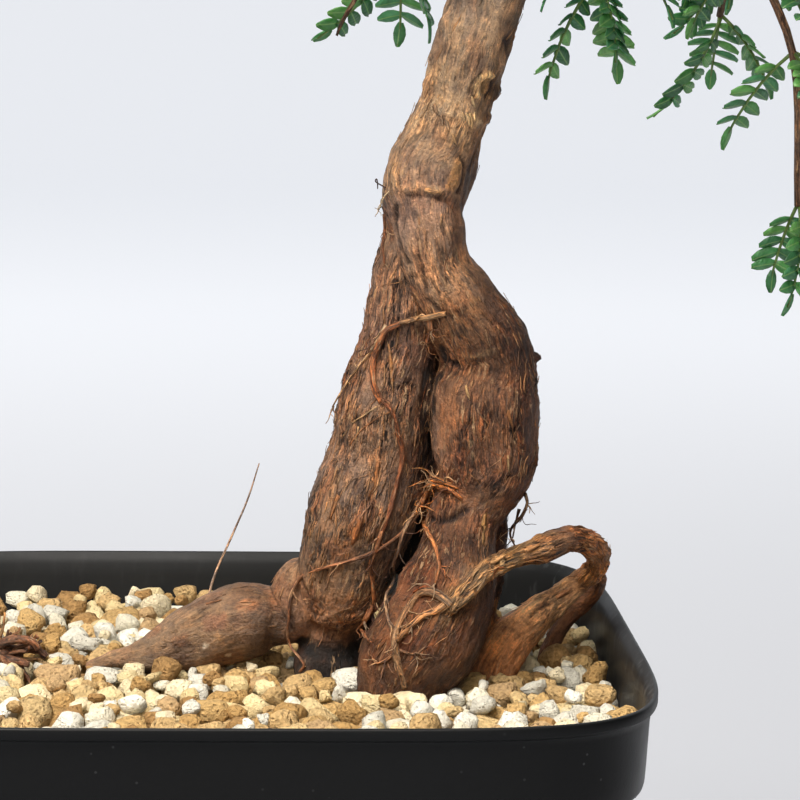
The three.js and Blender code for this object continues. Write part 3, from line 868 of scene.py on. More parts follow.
class PhotoCamera:
    """The photograph's camera, fitted to the pot's rim, in the model's frame."""

    place = Vector((-3.283, -488.025, 212.1))
    heading = Vector((0.0577, 0.9983, 0))
    pitch = math.radians(8.56)
    roll = math.radians(0.92)
    focal_pixels = 3367.0
    sensor_width = 36.0

    def axes(self) -> tuple[Vector, Vector, Vector]:
        """The camera's right, up and forward directions."""
        level = self.heading.normalized()
        forward = level * math.cos(self.pitch) - Vector((0, 0, 1)) * math.sin(self.pitch)
        right = level.cross(Vector((0, 0, 1))).normalized()
        up = right.cross(forward)
        turned_right = right * math.cos(self.roll) + up * math.sin(self.roll)
        turned_up = up * math.cos(self.roll) - right * math.sin(self.roll)
        return turned_right, turned_up, forward

    def ray(self, pixel: Pixel) -> Vector:
        """The direction in which a pixel of the photograph looks."""
        right, up, forward = self.axes()
        across = (pixel[0] - PHOTO_PIXELS / 2) / self.focal_pixels
        down = (pixel[1] - PHOTO_PIXELS / 2) / self.focal_pixels
        return (forward + right * across - up * down).normalized()

    def build(self) -> Object:
        """Builds the camera and makes it the scene's own.

        Returns:
            The camera object.
        """
        data = bpy.data.cameras.new("photo_camera")
        data.sensor_width = self.sensor_width
        data.lens = self.focal_pixels / PHOTO_PIXELS * self.sensor_width
        data.clip_start = 0.01
        data.clip_end = 20
        camera = linked("photo_camera", data)
        right, up, forward = self.axes()
        turn = Matrix((right, up, -forward)).transposed().to_4x4()
        camera.matrix_world = Matrix.Translation(self.place * MM) @ turn
        bpy.context.scene.camera = camera
        return camera


@dataclass
class Studio:
    """A white paper sweep, a large soft light at the upper left and a pale surround."""

    paper: PaperFinish = field(default_factory=PaperFinish)
    half_width: float = 3.0
    near: float = -2.4
    bend_start: float = 1.9
    bend_radius: float = 0.9
    wall_height: float = 1.6

    def build(self) -> None:
        """Builds the sweep, the lights and the surround."""
        self.build_sweep()
        self.build_light("key_light", (-0.5, -0.74, 1.6), (0.02, 0, 0.13), 1.1, 78.0, "#fff8f0")
        self.build_light("fill_light", (-0.1, -1.5, 0.9), (0.02, 0, 0.13), 1.2, 9.0, "#fff8f0")
        self.build_surround()

    def build_sweep(self) -> None:
        """Builds the floor that curves up into a backdrop."""
        bm = bmesh.new()
        left = bm.verts.new((-self.half_width, self.near, 0))
        right = bm.verts.new((self.half_width, self.near, 0))
        edge = bm.edges.new((left, right))
        grown = bmesh.ops.extrude_edge_only(bm, edges=[edge])
        far = [part for part in grown["geom"] if isinstance(part, BMVert)]
        bmesh.ops.translate(bm, vec=(0, self.bend_start - self.near, 0), verts=far)
        far_edge = [part for part in grown["geom"] if isinstance(part, BMEdge)]
        far_edge = [part for part in far_edge if all(corner in far for corner in part.verts)]
        bent = bmesh.ops.spin(
            bm, geom=far + far_edge, cent=(0, self.bend_start, self.bend_radius), axis=(1, 0, 0),
            angle=math.pi / 2, steps=24, use_merge=False,
        )
        top_edge = [part for part in bent["geom_last"] if isinstance(part, BMEdge)]
        wall = bmesh.ops.extrude_edge_only(bm, edges=top_edge)
        top = [part for part in wall["geom"] if isinstance(part, BMVert)]
        bmesh.ops.translate(bm, vec=(0, 0, self.wall_height), verts=top)
        bmesh.ops.recalc_face_normals(bm, faces=bm.faces)
        for face in bm.faces:
            face.smooth = True
        sweep = linked("paper_sweep", freed_mesh(bm, "paper_sweep"))
        sweep.data.materials.append(self.paper.build())

    @staticmethod
    def build_light(
        name: str, place: tuple[float, float, float], aim: tuple[float, float, float], size: float,
        power: float, colour: str,
    ) -> None:
        """Builds one square soft light.

        Args:
            name: The light's name.
            place: Where it hangs, in metres.
            aim: The point that it faces, in metres.
            size: The length of its sides, in metres.
            power: Its power, in watts.
            colour: Its sRGB hex colour.
        """
        data = bpy.data.lights.new(name, "AREA")
        data.shape = "SQUARE"
        data.size = size
        data.energy = power
        data.color = linear(colour)[:3]
        light = linked(name, data)
        light.location = place
        light.rotation_euler = (Vector(aim) - Vector(place)).to_track_quat("-Z", "Y").to_euler()

    @staticmethod
    def build_surround() -> None:
        """Builds the world: pale above, dimmer towards the floor and on the side away from the window."""
        world = bpy.data.worlds.new("pale_surround")
        world.use_nodes = True
        bpy.context.scene.view_settings.view_transform = "Standard"
        world.node_tree.nodes.clear()
        add = NodeGraph(world.node_tree).add
        add("place", "TexCoord")
        add("parts", "SeparateXYZ", {"Vector": "place.Generated"})
        add("height", "MapRange", {"Value": "parts.Z", "From Min": -0.3, "From Max": 0.8})
        tones = ((0.0, "#8f8d8a"), (0.35, "#b0afad"), (1.0, "#f1f3f6"))
        add("colour", "ValToRGB", {"Fac": "height"}, [(place, *linear(tone)[:3]) for place, tone in tones])
        values = {"Value": "parts.X", "From Min": -0.6, "From Max": 0.6, "To Min": 0.34, "To Max": 0.1}
        add("window_side", "MapRange", values)
        add("light", "Background", {"Color": "colour", "Strength": "window_side"})
        add("output", "OutputWorld", {"Surface": "light"})
        bpy.context.scene.world = world


def squared(half_width: float, angle: float, squareness: float) -> tuple[float, float]:
    """A point of the pot's rounded square, at an angle and with a half-width."""

    def press(share: float) -> float:
        """Presses a circle's coordinate towards the square's side."""
        return math.copysign(abs(share) ** (2 / squareness), share)

    return half_width * press(math.cos(angle)), half_width * press(math.sin(angle))


def lathe(
    bm: BMesh, profile: Sequence[tuple[float, float]], sides: int, squareness: float
) -> list[tuple[BMVert, int]]:
    """A closed body round +Z whose rings are rounded squares.

    Args:
        bm: The mesh that gets the body.
        profile: Half-width and height of each ring, in millimetres.
        sides: How many corners a ring has.
        squareness: The rounded square's power.

    Returns:
        The body's corners, each with the number of its ring.
    """
    steps = len(profile) - 1
    numbered = []
    for corner in ringed_tube(bm, sides, steps):
        ring = round(corner.co.z + steps / 2)
        half_width, height = profile[ring]
        angle = math.atan2(corner.co.y, corner.co.x)
        x, y = squared(half_width, angle, squareness)
        corner.co = Vector((x, y, height))
        numbered.append((corner, ring))
    return numbered


@dataclass
class NurseryPot:
    """The nearly square pot: a tapered body, an inward step, a band, and a rolled lip."""

    finish: PolypropyleneFinish = field(default_factory=PolypropyleneFinish)
    half_width: float = 60.0
    height: float = 104.0
    base_half: float = 44.0
    wall: float = 0.95
    floor: float = 1.8
    squareness: float = 5.4
    band_height: float = 13.3
    band_step: float = 1.8
    band_taper: float = 0.6
    lip_reach: float = 0.85
    lip_height: float = 1.7
    lip_edge: float = 0.3
    drain_radius: float = 4.0
    drain_spacing: float = 26.0
    sides: int = 200

    def outer_profile(self) -> list[tuple[float, float]]:
        """The outside from the foot up to the lip, each half-width with its height."""
        band = self.half_width - self.lip_reach
        band_bottom = self.height - self.band_height
        body = band - self.band_step - 0.5
        lip_bottom = self.height - self.lip_height
        edge = self.lip_edge
        foot = self.base_half
        rows = [(foot - 3.4, 0.7), (foot - 2.6, 0.7), (foot - 2.2, 0.0)]
        rows += [(foot - 0.9, 0.0), (foot - 0.25, 0.3), (foot, 1.0)]
        for step in range(1, 12):
            share = step / 12
            rows.append((foot + (body - foot) * share, 1 + (band_bottom - 2.2) * share))
        low = band - self.band_taper
        half = self.half_width
        return rows + [
            (body, band_bottom - 1.2), (body + 0.15, band_bottom - 0.6), (body + 0.5, band_bottom - 0.15),
            (low - 0.4, band_bottom), (low - 0.12, band_bottom + 0.2), (low, band_bottom + 0.7),
            *[(low + self.band_taper * share / 4, band_bottom + share * 3.0) for share in (1, 2, 3)],
            (band, lip_bottom - 1.2), (band + 0.08, lip_bottom - 0.5), (half - edge, lip_bottom),
            (half - 0.3 * edge, lip_bottom + 0.3 * edge), (half, lip_bottom + edge),
            (half, self.height - edge), (half - 0.3 * edge, self.height - 0.3 * edge),
            (half - edge, self.height),
        ]

    def inner_profile(self) -> list[tuple[float, float]]:
        """The inside from the lip down to the floor, each half-width with its height."""
        band = self.half_width - self.lip_reach - self.wall
        band_bottom = self.height - self.band_height
        body = band - self.band_step - 0.5
        return [
            (self.half_width - 0.5, self.height), (self.half_width - 0.62, self.height - 0.15),
            (band + 0.45, self.height - 1.0), (band + 0.1, self.height - 1.9),
            (band - 0.1, self.height - 4), (band - 0.2, self.height - 8), (band - 0.5, band_bottom + 1.2),
            (body + 0.2, band_bottom + 0.2), (body, band_bottom - 0.8),
            (self.base_half - self.wall, self.floor + 0.8), (self.base_half - self.wall - 0.8, self.floor),
        ]

    def inner_half(self, height: float) -> float:
        """The inside's half-width at a height."""
        rows = sorted((level, half) for half, level in self.inner_profile())
        return float(np.interp(height, [row[0] for row in rows], [row[1] for row in rows]))

    def build(self) -> Object:
        """Builds the pot and cuts its drain holes.

        Returns:
            The pot.
        """
        bm = bmesh.new()
        outer = self.outer_profile()
        profile = outer + self.inner_profile()
        inside = bm.verts.layers.float.new("inside")
        for corner, ring in lathe(bm, profile, self.sides, self.squareness):
            corner[inside] = 1.0 if ring > len(outer) else 0.0
        cutter_mesh = bmesh.new()
        for column in (-1, 0, 1):
            for row in (-1, 0, 1):
                if column or row:
                    shift = Matrix.Translation((column * self.drain_spacing, row * self.drain_spacing, 1))
                    bmesh.ops.create_cone(
                        cutter_mesh, cap_ends=True, segments=32, radius1=self.drain_radius,
                        radius2=self.drain_radius, depth=8, matrix=shift,
                    )
        bmesh.ops.scale(cutter_mesh, vec=(MM, MM, MM), verts=cutter_mesh.verts)
        cutter = linked("drain_cutter", freed_mesh(cutter_mesh, "drain_cutter"))
        pot = make_piece(bm, "nursery_pot", [self.finish.build()], ["pot"])
        holes = pot.modifiers.new("drain_holes", "BOOLEAN")
        holes.operation = "DIFFERENCE"
        holes.solver = "EXACT"
        holes.object = cutter
        pierced = evaluated_mesh(pot, "nursery_pot")
        pot.modifiers.clear()
        pot.data = pierced
        bpy.data.objects.remove(cutter)
        return pot


class StoneKind(Enum):
    """The kinds of grit in the pot."""

    AKADAMA = "akadama"
    PUMICE = "pumice"
    CREAM = "cream"


@dataclass
class Stone:
    """One grain: its middle, its radius, its kind and its own seed."""

    place: np.ndarray
    radius: float
    kind: StoneKind
    seed: int


@dataclass
class GritBed:
    """Akadama and pumice grains, dropped one by one on a bed of finer crumbs."""

    pot: NurseryPot
    keep_clear: np.ndarray
    bed_level: float = 92.0
    top_level: float = 98.9
    smallest: float = 1.7
    largest: float = 3.35
    drops: int = 6500
    small_drops: int = 1600
    corner_drop: float = 2.2
    corner_start: float = 84.0
    corner_width: float = 12.0
    fill_level: float = 96.0
    akadama_share: float = 0.48
    pumice_share: float = 0.25
    fine_place: tuple[float, float, float] = (-46.0, -34.0, 93.6)
    akadama_tones: tuple[str, ...] = ("#cfab72", "#c09a62", "#dbbd88", "#b08a58", "#d3b17c", "#c6a578")
    pumice_tones: tuple[str, ...] = ("#e4e0d1", "#d5d1c2", "#ece8d9", "#cbc7b8", "#e2dbc4")
    cream_tones: tuple[str, ...] = ("#ecdbb2", "#e6d2a2", "#efe0bc", "#dfc794")

    def pick_kind(self, share: float) -> StoneKind:
        """The kind that a share between 0 and 1 stands for."""
        if share < self.akadama_share:
            return StoneKind.AKADAMA
        pumice = share < self.akadama_share + self.pumice_share
        return StoneKind.PUMICE if pumice else StoneKind.CREAM

    def drop_stones(self) -> list[Stone]:
        """Drops grains at random places until the bed is full.

        Returns:
            The grains that found room under the top level.
        """
        dice = random.Random(11)
        places = np.zeros((0, 4))
        stones: list[Stone] = []
        for drop in range(self.drops + self.small_drops):
            radius = self.smallest + (self.largest - self.smallest) * dice.random() ** 1.2
            if drop >= self.drops:
                radius = dice.uniform(0.55, 0.95) * self.smallest
            half = self.pot.inner_half(self.fill_level) - 0.92 * radius
            x = dice.uniform(-half, half)
            y = dice.uniform(-half, half)
            share = dice.random()
            seed = dice.randrange(1_000_000)
            if abs(x / half) ** self.pot.squareness + abs(y / half) ** self.pot.squareness > 1:
                continue
            z = self.bed_level + 0.75 * radius
            if len(stones):
                apart = np.hypot(places[:, 0] - x, places[:, 1] - y)
                reach = 0.88 * (places[:, 3] + radius)
                near = apart < reach
                if near.any():
                    rest = places[near, 2] + np.sqrt(reach[near] ** 2 - apart[near] ** 2)
                    z = max(z, float(rest.max()))
            into_corner = min(1.0, max(0.0, (x - y - self.corner_start) / self.corner_width))
            top = self.top_level + 0.5 * scatter(x, y, 5) - self.corner_drop * into_corner
            if z + 0.8 * radius > top:
                continue
            gap = np.linalg.norm(
                self.keep_clear[:, :3] - np.array((x, y, z)), axis=1
            ) - self.keep_clear[:, 3]
            if gap.min() < 0.45 * radius:
                continue
            places = np.vstack([places, (x, y, z, radius)])
            stones.append(Stone(np.array((x, y, z)), radius, self.pick_kind(share), seed))
        return stones

    def template(self, cuts: int) -> Mesh:
        """A small rounded block that each grain is shaped from.

        Args:
            cuts: How often each of its edges is cut.

        Returns:
            The template mesh, about a unit in radius.
        """
        bm = bmesh.new()
        bmesh.ops.create_cube(bm, size=2)
        bmesh.ops.subdivide_edges(bm, edges=list(bm.edges), cuts=cuts, use_grid_fill=True)
        for corner in bm.verts:
            corner.co = corner.co.lerp(corner.co.normalized() * 1.15, 0.86)
        return freed_mesh(bm, "grain_template")

    def shape(self, stone: Stone, block: np.ndarray) -> np.ndarray:
        """Shapes the template into one grain.

        Args:
            stone: The grain.
            block: The template's corners.

        Returns:
            The grain's corners, in millimetres.
        """
        dice = random.Random(stone.seed)
        points = block.copy()
        angular = 0.62 if stone.kind is StoneKind.AKADAMA else 0.5
        for _ in range(7 if stone.kind is StoneKind.AKADAMA else 9):
            facing = unit(np.array([dice.gauss(0, 1) for _ in range(3)]))
            level = dice.uniform(angular, 0.95)
            over = np.maximum(points @ facing - level, 0)
            points = points - 0.85 * over[:, None] * facing
        points = points * np.array(
            [dice.uniform(0.86, 1.2), dice.uniform(0.82, 1.05), dice.uniform(0.74, 0.98)]
        )
        swell = field_noise(points, (0.75, 0.75, 0.75), stone.seed % 977)
        rough = field_noise(points, (0.34, 0.34, 0.34), stone.seed % 463)
        points = points * (1 + 0.2 * swell[:, None] + 0.13 * rough[:, None])
        turn = Matrix.Rotation(dice.uniform(0, 6.28), 3, "Z") @ Matrix.Rotation(
            dice.uniform(-0.5, 0.5), 3, "X"
        )
        points = points @ np.array(turn).T
        return points * stone.radius * 1.06 + stone.place

    def build_stones(self, stones: list[Stone], kind: StoneKind, finish: StoneFinish) -> None:
        """Builds all grains of one kind as one piece.

        Args:
            stones: All grains.
            kind: The kind that goes into the piece.
            finish: Its finish.
        """
        tones = {
            StoneKind.AKADAMA: self.akadama_tones, StoneKind.PUMICE: self.pumice_tones,
            StoneKind.CREAM: self.cream_tones,
        }[kind]
        coarse = self.template(2)
        fine = self.template(4)
        blocks = {mesh: np.array([corner.co for corner in mesh.vertices]) for mesh in (coarse, fine)}
        bm = bmesh.new()
        tone = bm.verts.layers.float_color.new("tone")
        count = 0
        for stone in stones:
            if stone.kind is not kind:
                continue
            left, front, level = self.fine_place
            near = stone.place[1] < front and stone.place[0] > left and stone.place[2] > level
            mesh = fine if near else coarse
            first = len(bm.verts)
            bm.from_mesh(mesh)
            bm.verts.ensure_lookup_table()
            dice = random.Random(stone.seed + 5)
            colour = np.array(linear(dice.choice(tones)))
            colour[:3] *= dice.uniform(0.86, 1.1)
            for corner, place in zip(bm.verts[first:], self.shape(stone, blocks[mesh])):
                corner.co = place
                corner[tone] = colour
            count += 1
        LOG.info("%s: %d grains", kind.value, count)
        make_piece(bm, f"{kind.value}_grains", [finish.build()])
        bpy.data.meshes.remove(coarse)
        bpy.data.meshes.remove(fine)

    def build_bed(self, finish: StoneFinish) -> None:
        """Builds the block of finer crumbs under the grains, in place of the solid bed.

        Args:
            finish: Its finish.
        """
        pot = self.pot
        gap = 0.35
        profile = [(pot.base_half - pot.wall - gap - 1, pot.floor + gap)]
        profile += [(pot.inner_half(level) - gap, level) for level in (4, 30, 60, 86, 89.4, self.bed_level)]
        rings = 44
        edge = profile[-1][0]
        profile += [(edge * (1 - step / rings) + 0.05, self.bed_level) for step in range(1, rings)]
        bm = bmesh.new()
        tone = bm.verts.layers.float_color.new("tone")
        for corner, _ in lathe(bm, profile, 160, pot.squareness):
            corner[tone] = linear("#6f5030")
            half = max(abs(corner.co.x), abs(corner.co.y))
            if corner.co.z > self.bed_level - 0.01 and half < edge - 0.5:
                corner.co.z += 0.7 * noise.noise(corner.co / 1.7) + 0.5 * noise.noise(corner.co / 4.1)
        make_piece(bm, "crumb_bed", [finish.build()], ["soil"])

    def build(self) -> None:
        """Builds the bed and the grains."""
        akadama = StoneFinish("dry akadama clay, crumbly", "#6e4a22", 0.8, 0.45, 0.6, 1.7, 0.34)
        pumice = StoneFinish("white pumice, fine pores", "#7d7566", 0.6, 0.34, 0.5, 1.0, 0.18)
        cream = StoneFinish("cream pumice, fine pores", "#96794a", 0.6, 0.34, 0.5, 1.1, 0.2)
        crumbs = StoneFinish("akadama crumbs and dust", "#2e1f10", 1.6, 0.5, 1.1, 1.6, 0.4)
        stones = self.drop_stones()
        self.build_bed(crumbs)
        self.build_stones(stones, StoneKind.AKADAMA, akadama)
        self.build_stones(stones, StoneKind.PUMICE, pumice)
        self.build_stones(stones, StoneKind.CREAM, cream)


@dataclass(frozen=True)
class FlowLimb:
    """A limb's line as the bark follows it, with its colours from its first to its last station."""

    name: str
    stations: list[Station]
    tones: tuple[tuple[float, str], ...]
    weather: tuple[tuple[float, float], ...]


@dataclass(frozen=True)
class Spot:
    """A patch on the bark, of the bark's own colour or of painted shade, placed by a pixel of the
    photograph and stretched along the limb.
    """

    pixel: Pixel
    length: float
    width: float
    colour: str
    cover: float = 0.8
    rise: float = 0.0
    turn: float = 0.0


@dataclass(frozen=True)
class Stroke:
    """A crack, seam or ridge on the bark, or a band of painted shade, that follows pixels of the
    photograph.
    """

    pixels: tuple[Pixel, ...]
    width: float
    colour: str
    cover: float = 0.8
    rise: float = 0.0


FLOW_LIMBS: list[FlowLimb] = [FlowLimb(*row) for row in (
    (
        "main", list(reversed(TRUNK[2:])) + RIGHT_LEG[1:],
        (
            (0.0, "#a2917d"), (0.22, "#95826f"), (0.3, "#a98f71"), (0.355, "#b79a79"), (0.39, "#8f7865"),
            (0.43, "#8b7060"), (0.47, "#b39071"), (0.52, "#775739"), (0.56, "#6a4628"), (0.61, "#73523a"),
            (0.69, "#8b654b"), (0.76, "#4c311e"), (0.81, "#5a351e"), (0.86, "#5b3c24"), (1.0, "#46291a"),
        ),
        (
            (0.0, 0.5), (0.36, 0.48), (0.42, 0.5), (0.55, 0.65), (0.62, 0.85), (0.72, 0.75), (0.8, 0.55),
            (1.0, 0.5),
        ),
    ),
    ("left_leg", LEFT_LEG, (
        (0.0, "#9f7d5d"), (0.23, "#95755e"), (0.36, "#846350"), (0.52, "#8b7059"), (0.65, "#866b57"),
        (0.75, "#7f6855"), (0.88, "#6d5641"), (1.0, "#9c7356"),
    ), ((0.0, 0.7), (0.3, 1.0), (0.8, 1.0), (1.0, 0.7))),
    ("knob", KNOB, ((0.0, "#896b50"), (1.0, "#7a5a45")), ((0.0, 0.3),)),
    ("left_tuber", LEFT_TUBER, (
        (0.0, "#54402f"), (0.27, "#533e2d"), (0.42, "#866b50"), (0.65, "#715f4d"), (1.0, "#72604b")
    ), ((0.0, 0.28),)),
    # Painted shade: the bulb under the left leg is near black, standing in for the deep shadow under the
    # leg.
    ("dark_bulb", DARK_BULB, ((0.0, "#0e0805"), (1.0, "#0b0604")), ((0.0, 0.4),)),
    # Painted light: from about 0.3 along, the right tuber and its loop are painted lighter than their bark,
    # offsetting the shadow of the foot and trunk.
    ("right_tuber", RIGHT_TUBER, (
        (0.0, "#9e6942"), (0.2, "#9e6942"), (0.3, "#d4945f"), (0.41, "#d0a878"), (0.55, "#c08448"),
        (0.64, "#a87242"), (0.72, "#835835"), (0.84, "#8d6d44"), (0.93, "#b5956a"), (1.0, "#a8865c"),
    ), ((0.0, 0.4), (0.4, 0.5), (0.55, 1.0), (1.0, 1.0))),
    ("behind_root", BEHIND_ROOT, ((0.0, "#7a5132"), (1.0, "#6a4327")), ((0.0, 0.6),)),
    ("back_root", BACK_ROOT, ((0.0, "#4a2f22"), (1.0, "#3a241a")), ((0.0, 0.6),)),
    # Painted shade: the hidden and inner roots are near black, standing in for the deep shadow behind and
    # between the legs.
    ("hidden_root", HIDDEN_ROOT, ((0.0, "#0e0805"), (1.0, "#0b0604")), ((0.0, 0.4),)),
    ("inner_root", INNER_ROOT, ((0.0, "#120a06"), (1.0, "#0c0705")), ((0.0, 0.6),)),
)]

BARK_SPOTS: list[Spot] = [Spot(*row) for row in (
    ((506, 48), 2.2, 1.3, "#2c1a12", 0.95, -0.7), ((503, 60), 2.4, 1.0, "#b08a66", 0.7, 0.25),
    ((485, 85), 1.5, 0.8, "#8f6f48", 0.9, -0.4), ((488, 118), 1.0, 1.0, "#4a3020", 0.8, 0.5),
    ((500, 93), 1.1, 1.2, "#3a261b", 0.8, 0.6), ((437, 20), 1.5, 1.2, "#94755c", 0.4, 0.55),
    ((429, 58), 1.6, 1.2, "#8d6c52", 0.4, 0.5), ((420, 84), 1.8, 1.3, "#a07c5f", 0.4, 0.5),
    ((458, 116), 0.9, 5.0, "#c4aa88", 0.35, 0.25), ((455, 132), 2.4, 2.6, "#b08d68", 0.6, 0.15),
    # (468, 172) is painted shade on the trunk's shaded right edge.
    ((444, 146), 2.0, 2.2, "#a98260", 0.5, 0.1), ((468, 172), 4.5, 0.8, "#3a2418", 0.7, -0.15),
    ((456, 172), 2.3, 1.0, "#a97e4e", 0.85, 0.3, 8), ((452, 184), 1.2, 1.2, "#a97e4e", 0.8, 0.3),
    ((443, 122), 1.5, 0.7, "#ab8d6c", 0.6, 0.2), ((453, 140), 1.2, 0.7, "#a5825c", 0.6, 0.2),
    # (462, 206) is painted shade on the trunk's right side, under the collar.
    ((462, 206), 2.2, 1.0, "#3a2418", 0.8, -0.2), ((392, 168), 4.6, 2.4, "#b08d68", 0.6, 0.1),
    ((392, 178), 2.0, 1.6, "#c2a27d", 0.5, 0.2), ((387, 218), 3.4, 1.2, "#8a5a3c", 0.6, 0.15),
    ((434, 191), 0.7, 1.4, "#c7a983", 0.7, 0.45), ((375, 470), 5.0, 0.9, "#936a45", 0.6, 0.18),
    ((333, 491), 2.6, 1.0, "#9a7350", 0.55, 0.18), ((357, 525), 2.6, 1.2, "#94694a", 0.55, 0.15),
    ((336, 548), 1.8, 2.4, "#946c4c", 0.5, 0.15), ((337, 472), 0.8, 0.4, "#b8946a", 0.7, 0.1),
    ((375, 292), 1.0, 0.4, "#b8946a", 0.7, 0.1), ((416, 296), 0.9, 0.4, "#b8946a", 0.7, 0.1),
    ((460, 467), 3.4, 2.0, "#7d4a32", 0.4, 0.05), ((450, 480), 2.0, 1.2, "#8a5436", 0.4, 0.05),
    ((473, 455), 1.0, 0.3, "#c2a67e", 0.7, 0.1), ((510, 460), 1.0, 0.3, "#c2a67e", 0.7, 0.1),
    # (500, 318), (520, 350), (526, 400), (528, 450) and (490, 360) are painted shade on the right leg's
    # side turned away from the key light.
    ((471, 444), 0.9, 0.3, "#c2a67e", 0.7, 0.1), ((500, 318), 8.0, 2.4, "#4d3222", 0.6, 0.0),
    ((520, 350), 8.0, 2.6, "#462c1e", 0.6, 0.0), ((526, 400), 9.0, 2.4, "#462c1e", 0.6, 0.0),
    ((528, 450), 8.0, 2.0, "#462c1e", 0.5, 0.0), ((490, 360), 6.0, 2.2, "#5a3d2a", 0.4, 0.0),
    ((490, 492), 2.8, 2.4, "#7a675a", 0.5, 0.0), ((470, 285), 3.0, 0.8, "#8f7562", 0.4, 0.05),
    ((537, 357), 0.8, 0.9, "#5a3626", 0.8, 0.7), ((485, 533), 2.8, 0.7, "#b08258", 0.6, 0.15),
    ((498, 569), 0.7, 0.7, "#5f4126", 0.7, -0.25), ((542, 605), 1.0, 0.8, "#4a2a1c", 0.7, -0.2),
    ((205, 647), 0.5, 0.5, "#dccfb8", 0.85, 0.05), ((228, 656), 0.5, 0.5, "#dccfb8", 0.85, 0.05),
    ((180, 640), 1.6, 1.1, "#8f6548", 0.4, 0.15), ((245, 606), 1.8, 1.2, "#a4714c", 0.5, 0.05),
    ((215, 622), 1.8, 1.4, "#94634a", 0.5, 0.05), ((404, 640), 2.2, 1.6, "#8a4f34", 0.5, 0.05),
)]

BARK_STROKES: list[Stroke] = [Stroke(*row) for row in (
    # Painted shadow under the left leg, across the bulb's top.
    (((304, 645), (318, 651), (334, 654), (350, 653), (362, 647)), 1.4, "#0c0705", 0.88, -0.3),
    (((522, 612), (530, 606), (541, 600)), 0.3, "#d3ae80", 0.75, 0.25),
    (((530, 616), (538, 609), (548, 604)), 0.3, "#2c1a12", 0.75, -0.3),
    (((486, 560), (491, 566), (494, 575)), 0.3, "#4a2d1a", 0.8, -0.25),
    (((496, 556), (502, 562), (500, 571)), 0.35, "#d8b684", 0.7, 0.3),
    (((397, 206), (396, 222), (400, 240), (408, 262)), 0.5, "#20130d", 0.8, -0.35),
    (((408, 196), (423, 195), (436, 197), (448, 201), (455, 210), (459, 220)), 0.4, "#6b4a34", 0.4, -0.35),
    (((388, 192), (400, 190), (412, 189), (424, 189)), 0.7, "#a98763", 0.3, 0.25),
    (((459, 155), (463, 168), (462, 180), (457, 192)), 0.28, "#2c1a12", 0.8, -0.35),
    (((440, 192), (449, 193), (458, 200)), 0.6, "#8f6e50", 0.4, 0.35),
    (((440, 110), (450, 114), (462, 116), (480, 122)), 0.28, "#cdb896", 0.5, 0.22),
    (((442, 124), (456, 128), (470, 134)), 0.2, "#3a281d", 0.4, -0.15),
    (((438, 138), (452, 142), (466, 150)), 0.2, "#3a281d", 0.4, -0.15),
    (((473, 98), (470, 90), (474, 80), (482, 73)), 0.3, "#2c1a12", 0.85, -0.25),
    (((476, 95), (475, 88), (479, 80), (486, 75), (492, 77)), 0.42, "#dcbb88", 0.9, 0.5),
    (((492, 80), (491, 89), (486, 97)), 0.45, "#24150e", 0.9, -0.35),
    (((443, 356), (450, 363), (460, 367)), 0.5, "#20130d", 0.8, -0.45),
    (((462, 367), (476, 366), (490, 361), (504, 352)), 0.4, "#6b4a34", 0.35, -0.2),
    (((470, 357), (482, 355), (498, 349)), 0.35, "#b89468", 0.4, 0.15),
    (((460, 312), (468, 318), (478, 330)), 0.5, "#33221a", 0.7, -0.3),
    (((428, 300), (440, 312), (452, 318)), 0.4, "#33221a", 0.6, -0.25),
    (((430, 518), (440, 522), (453, 519), (466, 510)), 0.5, "#20130d", 0.8, -0.45),
    # The next three strokes are painted shade: the deep shadow in the gap between the two legs.
    (((441, 350), (437, 380), (434, 410), (432, 440), (430, 466)), 0.9, "#0f0906", 0.9, -0.2),
    (((432, 362), (426, 385), (423, 412), (423, 440), (424, 468), (423, 492)), 1.3, "#1c130e", 0.78, -0.15),
    (((424, 512), (418, 532), (409, 554), (400, 574), (391, 592), (382, 608)), 1.5, "#0c0705", 0.93, -0.5),
    (((436, 240), (441, 262), (446, 284)), 0.4, "#33221a", 0.6, -0.25),
    (((418, 240), (421, 262), (426, 290)), 0.4, "#3b281e", 0.6, -0.25),
    (((300, 560), (305, 590), (312, 612)), 0.5, "#2c1c14", 0.6, -0.3),
)]


